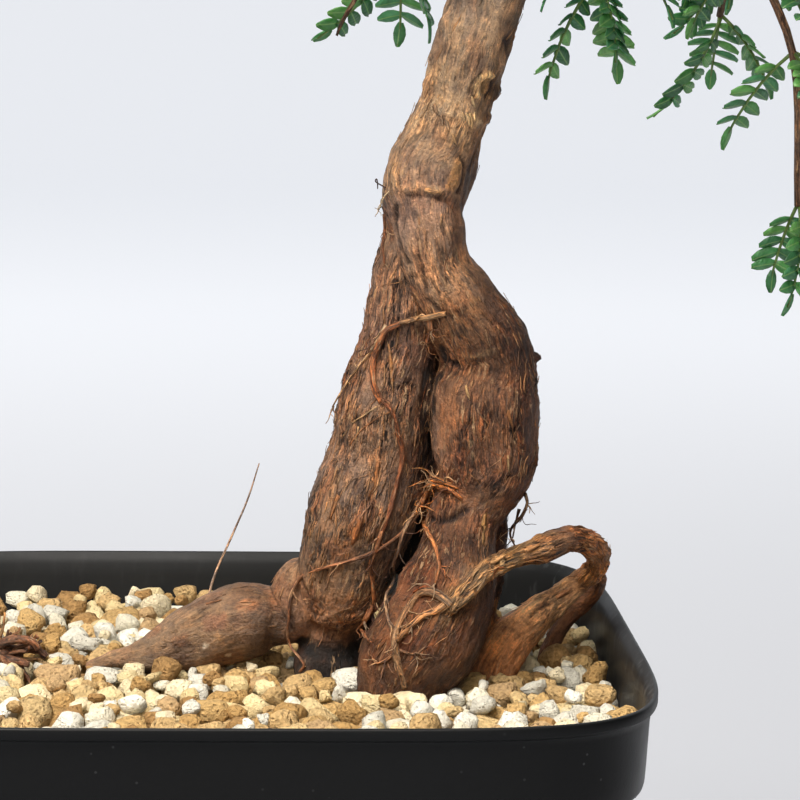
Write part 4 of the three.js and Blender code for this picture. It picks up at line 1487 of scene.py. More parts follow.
@dataclass
class Caudex:
    """The swollen wood: trunk, crossing legs, foot, tubers and the roots that grew thick with them."""

    camera: PhotoCamera
    finish: BarkFinish
    voxel: float = 0.41
    rounding: int = 5
    fibre_depth: float = 0.4
    crack_depth: float = 0.42
    lump: float = 0.3
    knot: float = 0.2
    joint_blend: float = 0.8
    limb_shift: float = 97.0
    farthest_miss: float = 9.0
    # Painted shade: how far the tone is darkened on the side turned away from the key light.
    away_side_painted_shade: tuple[float, float, float] = (0.46, 0.57, 0.67)
    wear: Pattern = ((4.5, 4.5, 7.0), 97.0)
    lumps: Pattern = ((6.5, 6.5, 8.0), 3.0)
    knots: Pattern = ((2.6, 2.6, 3.2), 13.0)
    patches: Pattern = ((3.6, 3.6, 4.6), 53.0)
    crumbs: Pattern = ((1.15, 1.15, 1.5), 67.0)
    fibres: Pattern = ((0.95, 0.95, 6.5), 7.0)
    threads: Pattern = ((0.62, 0.62, 3.4), 17.0)
    plates: Pattern = ((1.6, 1.6, 7.0), 29.0)
    veins: Pattern = ((1.9, 1.9, 10.0), 23.0)
    cross: Pattern = ((3.0, 3.0, 1.6), 41.0)
    places: np.ndarray = field(default_factory=lambda: np.zeros((0, 3)))
    normals: np.ndarray = field(default_factory=lambda: np.zeros((0, 3)))
    grain: np.ndarray = field(default_factory=lambda: np.zeros((0, 3)))
    tone: np.ndarray = field(default_factory=lambda: np.zeros((0, 3)))
    weather: np.ndarray = field(default_factory=lambda: np.zeros(0))
    tree: BVHTree | None = None

    def middle_lines(self) -> list[tuple[FlowLimb, list[Ring]]]:
        """Each limb with closely spaced rings along its middle."""
        return [(limb, limb_rings(limb.stations, 10)) for limb in FLOW_LIMBS]

    def rough_form(self) -> Mesh:
        """The limbs grown together into one skin of small even faces."""
        bm = bmesh.new()
        for stations in (TRUNK, LEFT_LEG, RIGHT_LEG, KNOB, LEFT_TUBER, DARK_BULB):
            Strand(stations, sides=36, cuts=5).build(bm)
        behind = [(x, y, z + 1.0, 0.62 * radius) for x, y, z, radius in BEHIND_ROOT]
        for stations in (RIGHT_TUBER, behind, BACK_ROOT, HIDDEN_ROOT, INNER_ROOT, TRUNK_SHOULDER):
            Strand(stations, sides=20, cuts=5).build(bm)
        bmesh.ops.recalc_face_normals(bm, faces=bm.faces)
        bmesh.ops.scale(bm, vec=(MM, MM, MM), verts=bm.verts)
        mesh = freed_mesh(bm, "caudex_limbs")
        limbs = linked("caudex_limbs", mesh)
        skin = limbs.modifiers.new("one_skin", "REMESH")
        skin.mode = "VOXEL"
        skin.voxel_size = self.voxel * MM
        soften = limbs.modifiers.new("grown_joints", "SMOOTH")
        soften.factor = 0.5
        soften.iterations = self.rounding
        grown = evaluated_mesh(limbs, "caudex")
        bpy.data.objects.remove(limbs)
        bpy.data.meshes.remove(mesh)
        return grown

    def read(self, mesh: Mesh) -> None:
        """Reads a mesh's corners, normals and faces for the work in millimetres."""
        count = len(mesh.vertices)
        flat = np.zeros(count * 3)
        mesh.vertices.foreach_get("co", flat)
        self.places = flat.reshape(-1, 3) / MM
        mesh.vertex_normals.foreach_get("vector", flat)
        self.normals = flat.reshape(-1, 3).copy()
        self.tree = BVHTree.FromPolygons(
            self.places.tolist(), [tuple(face.vertices) for face in mesh.polygons]
        )

    def follow_limbs(self) -> tuple[np.ndarray, np.ndarray, np.ndarray]:
        """Finds the limb that each corner belongs to.

        Returns:
            The corner's place in its limb's straightened frame, and its tone and weathering, blended
            at the joints.
        """
        places = self.places
        count = len(places)
        lines = self.middle_lines()
        depths = np.zeros((len(lines), count))
        flows = np.zeros((len(lines), count, 3))
        grains = np.zeros((len(lines), count, 3))
        tones = np.zeros((len(lines), count, 4))
        for index, (limb, rings) in enumerate(lines):
            middles = np.array([ring.place for ring in rings])
            alongs = np.array([ring.along for ring in rings])
            radii = np.array([ring.radius for ring in rings])
            nearest = np.zeros(count, int)
            for first in range(0, count, 20000):
                part = places[first : first + 20000]
                apart = np.linalg.norm(part[:, None, :] - middles[None, :, :], axis=2) - radii[None, :]
                nearest[first : first + 20000] = apart.argmin(axis=1)
            off = places - middles[nearest]
            axes = (
                np.array([getattr(ring, name) for ring in rings])[nearest] for name in ("third", "across")
            )
            side, front = (np.einsum("ij,ij->i", off, axis) for axis in axes)
            ahead = np.einsum("ij,ij->i", off, alongs[nearest])
            travel = np.array([ring.travel for ring in rings])
            depths[index] = np.linalg.norm(off, axis=1) - radii[nearest]
            flows[index] = np.stack(
                [side, front, travel[nearest] + ahead + self.limb_shift * index], axis=1
            )
            grains[index] = alongs[nearest]
            share = (travel[nearest] + ahead) / travel[-1]
            stops = [stop for stop, _ in limb.tones]
            colours = np.array([linear(tone)[:3] for _, tone in limb.tones])
            tones[index, :, :3] = np.stack(
                [np.interp(share, stops, colours[:, part]) for part in range(3)], axis=1
            )
            grades = [grade for _, grade in limb.weather]
            tones[index, :, 3] = np.interp(share, [stop for stop, _ in limb.weather], grades)
        best = depths.argmin(axis=0)
        rows = np.arange(count)
        self.grain = grains[best, rows]
        weights = np.exp(-(depths - depths.min(axis=0)) / self.joint_blend)
        weights /= weights.sum(axis=0)
        blended = np.einsum("lc,lcp->cp", weights, tones)
        return flows[best, rows], blended[:, :3], blended[:, 3]

    def hit(self, pixel: Pixel) -> tuple[np.ndarray, np.ndarray] | None:
        """The bark's place and normal that a pixel of the photograph shows, or the nearest to it."""
        start = self.camera.place
        direction = self.camera.ray(pixel)
        place, normal, _, _ = self.tree.ray_cast(start, direction)
        if place is None:
            reach = (Vector((30, -2, 0)) - start).y / direction.y
            place, normal, _, apart = self.tree.find_nearest(start + direction * reach)
            if place is None or apart > self.farthest_miss:
                return None
        return np.array(place), np.array(normal)

    def grain_at(self, place: np.ndarray) -> np.ndarray:
        """The direction in which the bark's fibres run at a place."""
        nearest = int(np.argmin(np.linalg.norm(self.places - place, axis=1)))
        return self.grain[nearest]

    def apply_marks(self, tone: np.ndarray, rise: np.ndarray) -> None:
        """Paints and raises the bark's marks: its own patches and cracks, and the patches and strokes of
        painted shade.

        Args:
            tone: The corners' colours, changed in place.
            rise: The corners' heights over the smooth form, changed in place.
        """
        ragged = field_noise(self.places, (0.9, 0.9, 0.9), 31.0)
        for spot in BARK_SPOTS:
            found = self.hit(spot.pixel)
            if found is None:
                LOG.warning("spot at %s misses the wood", spot.pixel)
                continue
            place, normal = found
            along = self.grain_at(place)
            along = unit(along - normal * float(along @ normal))
            side = np.cross(normal, along)
            cos, sin = math.cos(math.radians(spot.turn)), math.sin(math.radians(spot.turn))
            along, side = along * cos + side * sin, side * cos - along * sin
            off = self.places - place
            span = np.sqrt(
                (off @ along / spot.length) ** 2 + (off @ side / spot.width) ** 2
                + (off @ normal / max(2.2, spot.width)) ** 2
            )
            weight = smoothstep(span + 0.45 * ragged, 1.15, 0.7)[:, None] * spot.cover
            tone += (tint(spot.colour) - tone) * weight
            rise += spot.rise * smoothstep(span + 0.15 * ragged, 1.2, 0.5)
        for stroke in BARK_STROKES:
            hits = [self.hit(pixel) for pixel in stroke.pixels]
            points = [found[0] for found in hits if found is not None]
            if len(points) < 2:
                LOG.warning("stroke at %s misses the wood", stroke.pixels[0])
                continue
            span = np.full(len(self.places), 1e3)
            for start, end in zip(points, points[1:]):
                line = end - start
                share = np.clip((self.places - start) @ line / float(line @ line), 0, 1)
                apart = np.linalg.norm(self.places - (start + share[:, None] * line), axis=1)
                span = np.minimum(span, apart)
            span = span / stroke.width
            weight = smoothstep(span + 0.4 * ragged, 1.3, 0.6)[:, None] * stroke.cover
            tone += (tint(stroke.colour) - tone) * weight
            rise += stroke.rise * smoothstep(span + 0.25 * ragged, 1.4, 0.3)

    def dress(
        self, flow: np.ndarray, tone: np.ndarray, weather: np.ndarray
    ) -> tuple[np.ndarray, np.ndarray]:
        """Works out the bark's fibres, plates and splits, washes and marks its colour, and darkens as
        painted shade its side turned away from the key light.

        Args:
            flow: The corners' places in their limbs' straightened frames.
            tone: The corners' colours, changed in place.
            weather: How far the skin has split at each corner.

        Returns:
            The corners' heights over the smooth form, and how dark they are painted: for splits and
            wrinkles, and as painted shade where they lie deep under the smooth form.
        """
        sway = np.stack(
            [field_noise(self.places, (5.2, 5.2, 5.2), seed) for seed in (61.0, 71.0, 83.0)], axis=1
        )
        swayed = flow + 0.8 * sway
        lumps, knots, patches, crumbs = (
            field_noise(self.places, *pattern)
            for pattern in (self.lumps, self.knots, self.patches, self.crumbs)
        )
        fibres, threads, plates, veins, cross = (
            field_noise(swayed, *pattern)
            for pattern in (self.fibres, self.threads, self.plates, self.veins, self.cross)
        )
        cracks = smoothstep(np.abs(veins), 0.075, 0.0) * smoothstep(patches, -0.25, 0.1) * weather
        wrinkles = smoothstep(np.abs(cross), 0.05, 0.0) * smoothstep(lumps, 0.15, 0.4) * weather
        terraces = smoothstep(plates, -0.02, 0.05) + 0.8 * smoothstep(plates, 0.24, 0.3)
        rise = self.lump * lumps + self.knot * knots + (0.08 + 0.16 * weather) * crumbs
        rise = rise + weather * (self.fibre_depth * (0.5 * fibres + 0.35 * threads) + 0.13 * terraces)
        rise = rise - self.crack_depth * cracks - 0.6 * self.crack_depth * wrinkles
        for swell, start, end, wash, cover in (
            (patches, 0.1, 0.42, "#8f5a38", 0.28), (lumps, 0.1, 0.5, "#8d7868", 0.22),
            (knots, -0.15, -0.5, "#4a3024", 0.3),
        ):
            tone += (tint(wash) - tone) * smoothstep(swell, start, end)[:, None] * cover
        bright = 1 + weather * (0.3 * fibres + 0.2 * threads)
        tone *= np.clip(bright, 0.45, 1.6)[:, None]
        # Painted shade: above about 120 mm the bark is darkened on its side that faces +X, away from the
        # key light.
        away = smoothstep(self.normals[:, 0], 0.15, 0.85) * smoothstep(self.places[:, 2], 118, 128)
        tone *= 1 - away[:, None] * np.array(self.away_side_painted_shade)
        self.apply_marks(tone, rise)
        # The second value is dark splits and wrinkles, plus painted shade that grows with depth under the
        # smooth form.
        return rise, np.clip(cracks * 0.7 + wrinkles * 0.45 + smoothstep(rise, -0.35, -0.9) * 0.5, 0, 1)

    def build(self) -> Object:
        """Builds the wood.

        Returns:
            The finished piece.
        """
        mesh = self.rough_form()
        self.read(mesh)
        flow, tone, weather = self.follow_limbs()
        weather = weather * np.clip(0.85 + 1.1 * field_noise(self.places, *self.wear), 0.3, 1.2)
        rise, hollow = self.dress(flow, tone, weather)
        limit = smoothstep(self.places[:, 2], 90, 96)
        finished = self.places + self.normals * (rise * limit)[:, None]
        mesh.vertices.foreach_set("co", (finished * MM).ravel())
        self.write_attribute(mesh, "flow", "FLOAT_VECTOR", "vector", flow * MM)
        colours = np.ones((len(tone), 4))
        colours[:, :3] = np.clip(tone, 0.0, 1.0)
        self.write_attribute(mesh, "tone", "FLOAT_COLOR", "color", colours)
        self.write_attribute(mesh, "hollow", "FLOAT", "value", hollow)
        self.write_attribute(mesh, "weather", "FLOAT", "value", weather)
        mesh.materials.clear()
        mesh.materials.append(self.finish.build())
        mesh.polygons.foreach_set("use_smooth", [True] * len(mesh.polygons))
        mesh.update()
        self.read(mesh)
        self.tone = colours[:, :3]
        self.weather = weather
        piece = linked("caudex", mesh)
        settle(piece, ["wood"])
        return piece

    @staticmethod
    def write_attribute(mesh: Mesh, name: str, kind: str, key: str, values: np.ndarray) -> None:
        """Writes one value for each corner of a mesh."""
        attribute = mesh.attributes.get(name) or mesh.attributes.new(name, kind, "POINT")
        attribute.data.foreach_set(key, np.asarray(values, np.float32).ravel())


def keep_clear_rings() -> np.ndarray:
    """The limbs that stand in the grit and the hollows under them, as rows of x, y, z and radius."""
    rows = []
    for stations in (
        RIGHT_LEG, LEFT_LEG, KNOB, LEFT_TUBER, DARK_BULB, RIGHT_TUBER[:12], BEHIND_ROOT, BACK_ROOT, DRY_ROOT
    ):
        rows += [(*ring.place, ring.radius) for ring in limb_rings(stations, 5)]
    rows += [(19.5, 5.0, 97.0, 3.6), (10.0, 3.0, 97.5, 2.2)]
    return np.array(rows)


@dataclass
class Branches:
    """The woody branches above the trunk, with a stub of old wood for each leafy stem."""

    finish: BarkFinish

    def build(self) -> Object:
        """Builds the branches.

        Returns:
            The finished piece.
        """
        bm = bmesh.new()
        for stations in BRANCHES:
            Strand(stations, sides=18, cuts=6, relief=bark_relief, tone="#7d6552").build(bm)
        for plan in SPRAYS:
            middle = [(a + b) / 2 for a, b in zip(plan.root, plan.start)]
            stub: list[Station] = [(*plan.root, 1.5), (*middle, 1.4), (*plan.start, 1.2)]
            Strand(stub, sides=12, cuts=4, tone="#75604c").build(bm)
        Strand(DEAD_TWIG, sides=7, cuts=6, tone="#5a4334").build(bm)
        flow, _, _ = skin_layers(bm)
        for corner in bm.verts:
            swell = noise.noise(corner.co / 2.3)
            ridge = noise.noise(corner[flow] / MM / 0.8)
            corner.co += Vector((0, 0, 0.12)) * swell + Vector((0.1, 0.1, 0)) * ridge
        return make_piece(bm, "branches", [self.finish.build()], ["wood"])


@dataclass(frozen=True)
class RootPlan:
    """A thin root by pixels of the photograph, each with how far it stands off the bark behind it."""

    pixels: tuple[tuple[float, float, float], ...]
    start_radius: float
    end_radius: float
    tone: str
    frays: int = 0


THIN_ROOTS: list[RootPlan] = [RootPlan(*row) for row in (
    ((
        (446, 312, 0.2), (430, 316, 0.6), (412, 317, 1.0), (398, 323, 0.7), (388, 330, 0.5), (376, 342, 0.3)
    ), 0.42, 0.26, "#856a4c", 3),
    ((
        (400, 322, 0.7), (390, 329, 0.8), (382, 340, 0.7), (375, 356, 0.6), (374, 374, 0.5),
        (376, 390, 0.4), (383, 402, 0.3),
    ), 0.52, 0.38, "#8f5d3a", 1),
    ((
        (375, 386, 0.3), (380, 398, 0.35), (391, 412, 0.4), (398, 432, 0.4), (401, 456, 0.4),
        (396, 482, 0.45), (388, 512, 0.5), (379, 536, 0.5), (373, 552, 0.4),
    ), 0.4, 0.32, "#744a30", 2),
    ((
        (381, 530, 0.4), (375, 546, 0.6), (371, 562, 0.7), (370, 580, 0.7), (371, 598, 0.7), (372, 610, 0.5)
    ), 0.36, 0.3, "#8d6040", 2),
    ((
        (440, 484, 0.1), (424, 500, 0.8), (410, 518, 0.8), (392, 538, 0.4), (372, 552, 0.3),
        (346, 562, 0.3), (322, 568, 0.2), (302, 576, 0.3), (293, 592, 0.6), (291, 616, 0.8),
        (290, 640, 0.8), (287, 662, 0.3), (283, 674, 0.0),
    ), 0.34, 0.2, "#7d5a42", 2),
    ((
        (456, 492, 0.3), (444, 486, 0.7), (432, 484, 1.0), (422, 490, 1.0), (418, 500, 0.9),
        (421, 516, 0.8), (427, 532, 0.5), (435, 548, 0.2), (440, 566, 0.15), (436, 584, 0.15),
    ), 0.46, 0.24, "#93623c", 5),
    ((
        (462, 500, 0.2), (450, 490, 0.5), (438, 488, 0.9), (427, 495, 1.0), (424, 506, 0.8)
    ), 0.26, 0.14, "#b0743f", 5),
    ((
        (458, 488, 0.2), (448, 481, 0.6), (438, 481, 0.9), (430, 487, 1.1), (424, 494, 1.0), (417, 504, 0.7)
    ), 0.24, 0.14, "#b57a45", 6),
    (((444, 490, 0.4), (434, 491, 0.8), (428, 498, 0.9), (426, 510, 0.6)), 0.2, 0.1, "#a5683a", 6),
    (((452, 484, 0.3), (440, 478, 0.6), (430, 480, 0.9), (424, 488, 0.8)), 0.18, 0.1, "#c08a52", 6),
    ((
        (418, 502, 0.4), (409, 512, 0.9), (400, 530, 1.0), (393, 548, 1.0), (389, 562, 0.9),
        (393, 578, 0.8), (391, 600, 0.7), (391, 622, 0.6), (396, 640, 0.3),
    ), 0.32, 0.2, "#6f5a49", 4),
    ((
        (450, 606, -0.4), (444, 600, 0.2), (436, 595, 0.3), (427, 593, 0.3), (417, 598, 0.3),
        (408, 609, 0.3), (400, 624, 0.3), (396, 641, 0.3), (397, 660, 0.3), (401, 676, 0.2),
        (404, 688, 0.1),
    ), 0.72, 0.46, "#8f7254", 4),
    ((
        (446, 606, 0.0), (436, 611, 0.3), (425, 615, 0.3), (414, 623, 0.3), (406, 632, 0.3), (399, 642, 0.2)
    ), 0.58, 0.36, "#94714e", 4),
    (((444, 602, 0.2), (434, 590, 0.2), (424, 586, 0.15), (414, 592, 0.1)), 0.34, 0.18, "#8a5434", 3),
    (((398, 648, 0.2), (388, 658, 0.2), (378, 662, 0.15), (370, 656, 0.1)), 0.26, 0.12, "#7f6048", 2),
    (((400, 650, 0.2), (414, 654, 0.15), (424, 648, 0.1)), 0.22, 0.1, "#8a6a4e", 2),
    ((
        (370, 606, 0.3), (364, 616, 0.6), (360, 626, 0.5), (366, 634, 0.3), (370, 640, 0.1)
    ), 0.42, 0.2, "#a0683f", 3),
    ((
        (388, 326, 0.2), (372, 350, 0.3), (352, 376, 0.4), (343, 394, 0.5), (338, 406, 0.7)
    ), 0.24, 0.12, "#ab9272", 2),
    (((430, 318, 0.3), (434, 328, 0.7), (430, 338, 0.8), (424, 344, 0.5)), 0.42, 0.2, "#8a5f3e", 6),
    (((376, 408, 0.1), (364, 414, 0.1), (352, 424, 0.1), (344, 436, 0.1)), 0.16, 0.08, "#a08460", 0),
    (((390, 412, 0.1), (374, 418, 0.1), (362, 430, 0.1), (350, 446, 0.1)), 0.16, 0.08, "#8d6340", 0),
    (((358, 426, 0.1), (356, 440, 0.1), (350, 452, 0.1)), 0.14, 0.07, "#b0946e", 0),
    ((
        (387, 187, 0.1), (383, 183, 0.9), (381, 180, 1.3), (380, 184, 1.1), (383, 188, 0.6)
    ), 0.12, 0.08, "#4a3020", 0),
    (((389, 190, 0.1), (386, 197, 0.4), (385, 206, 0.5)), 0.12, 0.07, "#c9b491", 1),
    (((382, 214, 0.3), (376, 232, 0.8), (372, 248, 1.0), (374, 262, 0.6)), 0.3, 0.15, "#7a5238", 1),
    ((
        (524, 492, 0.3), (530, 504, 1.2), (520, 514, 1.6), (512, 530, 1.6), (506, 548, 1.4)
    ), 0.3, 0.15, "#3f291d", 2),
    (((518, 508, 0.8), (522, 524, 1.4), (514, 546, 1.2)), 0.24, 0.12, "#33211a", 1),
)]


def sow(
    caudex: Caudex, whole: BMesh, count: int, floor: float, power: float, dice: random.Random,
    add_one: Callable[[BMesh, int, random.Random], None],
) -> None:
    """Adds many small things at random places of the bark, more of them where it is weathered.

    Args:
        caudex: The finished wood.
        whole: The mesh that gets them, in millimetres.
        count: How many there are.
        floor: The height over which they start.
        power: How strongly they keep to the weathered bark.
        dice: The source of their places and shapes.
        add_one: Adds one of them to a mesh, at a corner of the bark.
    """
    batch = bmesh.new()
    made = 0
    while made < count:
        start = dice.randrange(len(caudex.places))
        if caudex.places[start][2] > floor and dice.random() < caudex.weather[start] ** power:
            add_one(batch, start, dice)
            made += 1
            if made % 40 == 0:
                pour(batch, whole)
                batch = bmesh.new()
    pour(batch, whole)


@dataclass
class ThinRoots:
    """The thin roots that run over the legs, the hairs that fray from them and the bark's loose fibres."""

    caudex: Caudex
    finish: BarkFinish
    creepers: int = 100
    lowest: float = 101.0
    weathering_power: float = 3.0
    fibre_tones: tuple[str, ...] = ("#8a6a4c", "#75492a", "#94765a", "#5f3f2a", "#755036")
    fray_tones: tuple[str, str] = ("#a88d6e", "#5a3a28")

    def place_on_bark(self, pixel: Pixel, off: float) -> np.ndarray | None:
        """The point over the bark that a pixel shows, standing off it towards the outside.

        Args:
            pixel: The photograph's pixel.
            off: The distance from the bark, in millimetres.

        Returns:
            The point, or None where the pixel shows no wood.
        """
        found = self.caudex.hit(pixel)
        if found is None:
            return None
        place, normal = found
        return place + normal * off

    def hair(
        self, bm: BMesh, start: np.ndarray, heading: np.ndarray, length: float, tone: str, seed: int
    ) -> None:
        """Adds one fine, wavy hair.

        Args:
            bm: The mesh, in millimetres.
            start: Where the hair grows from.
            heading: Its first direction.
            length: Its length.
            tone: Its colour.
            seed: The seed of its waves.
        """
        dice = random.Random(seed)
        place = np.array(start, float)
        direction = unit(np.array(heading, float))
        stations: list[Station] = []
        steps = 5
        radius = dice.uniform(0.07, 0.13)
        for step in range(steps + 1):
            stations.append((*place, radius * (1 - 0.6 * step / steps)))
            bend = np.array([dice.gauss(0, 0.45), dice.gauss(0, 0.3), dice.gauss(-0.12, 0.45)])
            direction = unit(direction + bend)
            place = place + direction * length / steps
        Strand(stations, sides=4, cuts=2, tone=tone).build(bm)

    def creeper(self, bm: BMesh, start: int, dice: random.Random) -> None:
        """Adds one fine fibre that wanders over the bark.

        Args:
            bm: The mesh, in millimetres.
            start: The corner of the bark where it starts.
            dice: The source of its turns.
        """
        place = self.caudex.places[start]
        normal = self.caudex.normals[start]
        heading = self.caudex.grain[start] * (1 if dice.random() < 0.5 else -1)
        radius = dice.uniform(0.05, 0.12)
        step_length = dice.uniform(0.8, 1.7)
        stations: list[Station] = []
        for step in range(7):
            stations.append((*(place + normal * 0.5 * radius), radius * (1 - 0.1 * step)))
            heading = heading + np.array([dice.gauss(0, 0.32) for _ in range(3)])
            heading = unit(heading - normal * float(heading @ normal))
            near, facing, _, _ = self.caudex.tree.find_nearest(Vector(place + heading * step_length))
            place = np.array(near)
            normal = np.array(facing)
        Strand(stations, sides=4, cuts=2, tone=dice.choice(self.fibre_tones)).build(bm)

    def build(self) -> None:
        """Builds the roots as one piece, and their hairs and the bark's fibres as another."""
        roots = bmesh.new()
        hairs = bmesh.new()
        Strand(STANDING_ROOT, sides=6, cuts=4, tone="#ab9686").build(roots)
        sow(
            self.caudex, hairs, self.creepers, self.lowest, self.weathering_power, random.Random(41),
            self.creeper,
        )
        for number, plan in enumerate(THIN_ROOTS):
            points = [self.place_on_bark((x, y), off) for x, y, off in plan.pixels]
            points = [point for point in points if point is not None]
            if len(points) < 3:
                LOG.warning("thin root %d misses the wood", number)
                continue
            last = len(points) - 1
            stations: list[Station] = []
            for step, point in enumerate(points):
                radius = plan.start_radius + (plan.end_radius - plan.start_radius) * step / last
                radius *= 1 + 0.22 * scatter(step, number, 3)
                kink = [0.22 * scatter(step, number, axis) for axis in (4, 5, 6)]
                stations.append((*(point + np.array(kink)), radius))
            Strand(stations, sides=7, cuts=5, tone=plan.tone).build(roots)
            batch = bmesh.new()
            for fray in range(plan.frays * 4):
                dice = random.Random(100 * number + fray)
                step = dice.randrange(1, last + 1)
                start = points[step]
                heading = points[step] - points[step - 1] + np.array(
                    [dice.gauss(0, 1), -abs(dice.gauss(0.3, 0.6)), dice.gauss(-0.3, 1)]
                )
                self.hair(
                    batch, start, heading, dice.uniform(1.5, 4.5),
                    dice.choice([plan.tone, *self.fray_tones]), fray,
                )
            pour(batch, hairs)
        make_piece(roots, "thin_roots", [self.finish.build()])
        make_piece(hairs, "root_hairs", [self.finish.build()])


@dataclass(frozen=True)
class Flap:
    """A larger flap of bark by two pixels of the photograph, its held end and its loose one."""

    held: Pixel
    loose: Pixel
    width: float
    tone: str
    lift: float = 0.3


FLAPS: list[Flap] = [Flap(*row) for row in (
    ((462, 112), (464, 121), 0.5, "#bda27a", 0.5), ((466, 113), (468, 125), 0.6, "#c9b088", 0.5),
    ((470, 113), (471, 129), 0.6, "#bda27a", 0.6), ((475, 112), (473, 121), 0.5, "#c9b088", 0.5),
    ((441, 115), (443, 126), 0.5, "#b39472", 0.25), ((446, 120), (449, 131), 0.5, "#b39472", 0.25),
    ((434, 104), (438, 114), 0.8, "#a08263", 0.2), ((471, 96), (474, 107), 0.5, "#bda27a", 0.4),
    ((452, 134), (456, 145), 0.5, "#b08c64", 0.25), ((425, 190), (440, 192), 0.9, "#bd9468", 0.4),
    ((590, 537), (603, 543), 0.9, "#94653c", 0.7), ((604, 556), (607, 572), 0.8, "#7d5230", 0.6),
    ((520, 552), (540, 545), 0.9, "#a87a4c", 0.4), ((490, 563), (505, 556), 0.9, "#b08a5c", 0.4),
    ((556, 598), (572, 588), 0.8, "#a0714a", 0.4), ((384, 183), (379, 206), 0.4, "#c9b491", 0.6),
    ((389, 344), (393, 392), 0.7, "#946a42", 0.15), ((338, 495), (331, 519), 0.9, "#8f6038", 0.15),
    ((361, 515), (352, 545), 1.4, "#8a5c3a", 0.15), ((378, 462), (374, 491), 0.8, "#8f6038", 0.15),
    ((398, 330), (396, 350), 0.5, "#946a42", 0.2), ((466, 385), (470, 400), 0.5, "#a98c62", 0.15),
    ((508, 455), (509, 472), 0.4, "#a98c62", 0.15), ((485, 512), (483, 545), 0.8, "#8f6f45", 0.15),
    ((508, 410), (513, 436), 0.5, "#94643a", 0.15), ((206, 604), (222, 600), 0.7, "#8a6446", 0.1),
)]


@dataclass
class BarkFlakes:
    """Slivers of torn bark that lie along the limbs, each held at one end and curled up at the other."""

    caudex: Caudex
    finish: BarkFinish
    count: int = 2200
    steps: int = 5
    shortest: float = 0.8
    longest: float = 3.8
    widest: float = 0.42
    thickness: float = 0.09
    pale: str = "#b88c60"
    lowest: float = 99.0
    weathering_power: float = 2.2

    def add_strip(
        self, bm: BMesh, start: np.ndarray, reach: np.ndarray, width: float, lift: float, colour: np.ndarray
    ) -> None:
        """Adds one strip of bark.

        Args:
            bm: The mesh, in millimetres.
            start: The place where it is held.
            reach: The way from there to its loose end.
            width: Its greatest width.
            lift: How far its loose end stands off the bark.
            colour: Its linear colour.
        """
        flow, tone, weather = skin_layers(bm)
        rows = []
        for step in range(self.steps + 1):
            share = step / self.steps
            near, facing, _, _ = self.caudex.tree.find_nearest(Vector(start + reach * share))
            facing = np.array(facing)
            middle = np.array(near) + facing * (0.03 + lift * share**2.2)
            taper = math.sin(math.pi * (0.22 + 0.7 * share))
            rows.append((middle, facing, unit(np.cross(facing, reach)), width * taper, share))
        for corner in ringed_tube(bm, 4, self.steps):
            middle, facing, side, spread, share = rows[round(corner.co.z + self.steps / 2)]
            across, out = corner.co.x, corner.co.y
            corner.co = Vector(middle + side * across * spread / 2 + facing * out * self.thickness / 2)
            corner[flow] = Vector(
                (across * spread, out, share * float(np.linalg.norm(reach)) + start[2] * 7)
            ) * MM
            corner[tone] = (*np.clip(colour, 0, 1), 1.0)
            corner[weather] = 0.5

    def add_flake(self, bm: BMesh, start: int, dice: random.Random) -> None:
        """Adds one sliver.

        Args:
            bm: The mesh, in millimetres.
            start: The corner of the bark where it is held.
            dice: The source of its length, width, curl and tone.
        """
        caudex = self.caudex
        along = caudex.grain[start] * (1 if dice.random() < 0.5 else -1)
        along = along + np.cross(caudex.normals[start], along) * dice.gauss(0, 0.14)
        length = self.shortest + (self.longest - self.shortest) * dice.random() ** 2
        share_pale = 0.7 * dice.random() ** 3
        colour = caudex.tone[start] * dice.uniform(0.5, 1.45)
        colour = colour + (tint(self.pale) - colour) * share_pale
        width = self.widest * dice.uniform(0.3, 1.0)
        self.add_strip(
            bm, caudex.places[start], along * length, width, dice.uniform(0.02, 0.14) * length, colour
        )

    def add_flap(self, bm: BMesh, flap: Flap) -> None:
        """Adds one larger flap where the photograph shows it.

        Args:
            bm: The mesh, in millimetres.
            flap: Its ends, width, tone and lift.
        """
        held = self.caudex.hit(flap.held)
        loose = self.caudex.hit(flap.loose)
        if held is None or loose is None:
            LOG.warning("flap at %s misses the wood", flap.held)
            return
        colour = tint(flap.tone)
        self.add_strip(bm, held[0], loose[0] - held[0], flap.width, flap.lift, colour)

    def build(self) -> Object:
        """Builds all slivers as one piece.

        Returns:
            The finished piece.
        """
        bm = bmesh.new()
        sow(
            self.caudex, bm, self.count, self.lowest, self.weathering_power, random.Random(23),
            self.add_flake,
        )
        flaps = bmesh.new()
        for flap in FLAPS:
            self.add_flap(flaps, flap)
        pour(flaps, bm)
        return make_piece(bm, "bark_flakes", [self.finish.build()])


@dataclass
class DryRoot:
    """The dead, frayed root end that lies in the grit."""

    finish: BarkFinish
    fibres: int = 34
    fibre_tones: tuple[str, ...] = ("#6b4c36", "#94754f", "#4c3324", "#7d5d40")

    def build(self) -> None:
        """Builds the root with its split, curling ends."""
        bm = bmesh.new()
        Strand(DRY_ROOT, sides=22, cuts=14, tone="#5a402f", relief=ribbed_relief).build(bm)
        for end in DRY_ROOT_ENDS:
            Strand(end, sides=10, cuts=8, tone="#634735", relief=ribbed_relief).build(bm)
        dice = random.Random(5)
        for _ in range(self.fibres):
            start = np.array(
                [-38 + dice.uniform(-2, 6), 4 + dice.uniform(-1.2, 1.2), 99 + dice.uniform(-1.2, 1.4)]
            )
            stations: list[Station] = [(*start, 0.42)]
            place = start
            heading = np.array([1.6, dice.uniform(-0.6, 0.6), dice.uniform(-0.4, 0.6)])
            for step in range(4):
                heading = heading + np.array([-0.2 * step, dice.gauss(0, 0.3), dice.gauss(-0.1, 0.45)])
                place = place + heading
                stations.append((*place, 0.38 - 0.06 * step))
            Strand(stations, sides=6, cuts=3, tone=dice.choice(self.fibre_tones)).build(bm)
        make_piece(bm, "dry_root_end", [self.finish.build()], ["dry_root"])


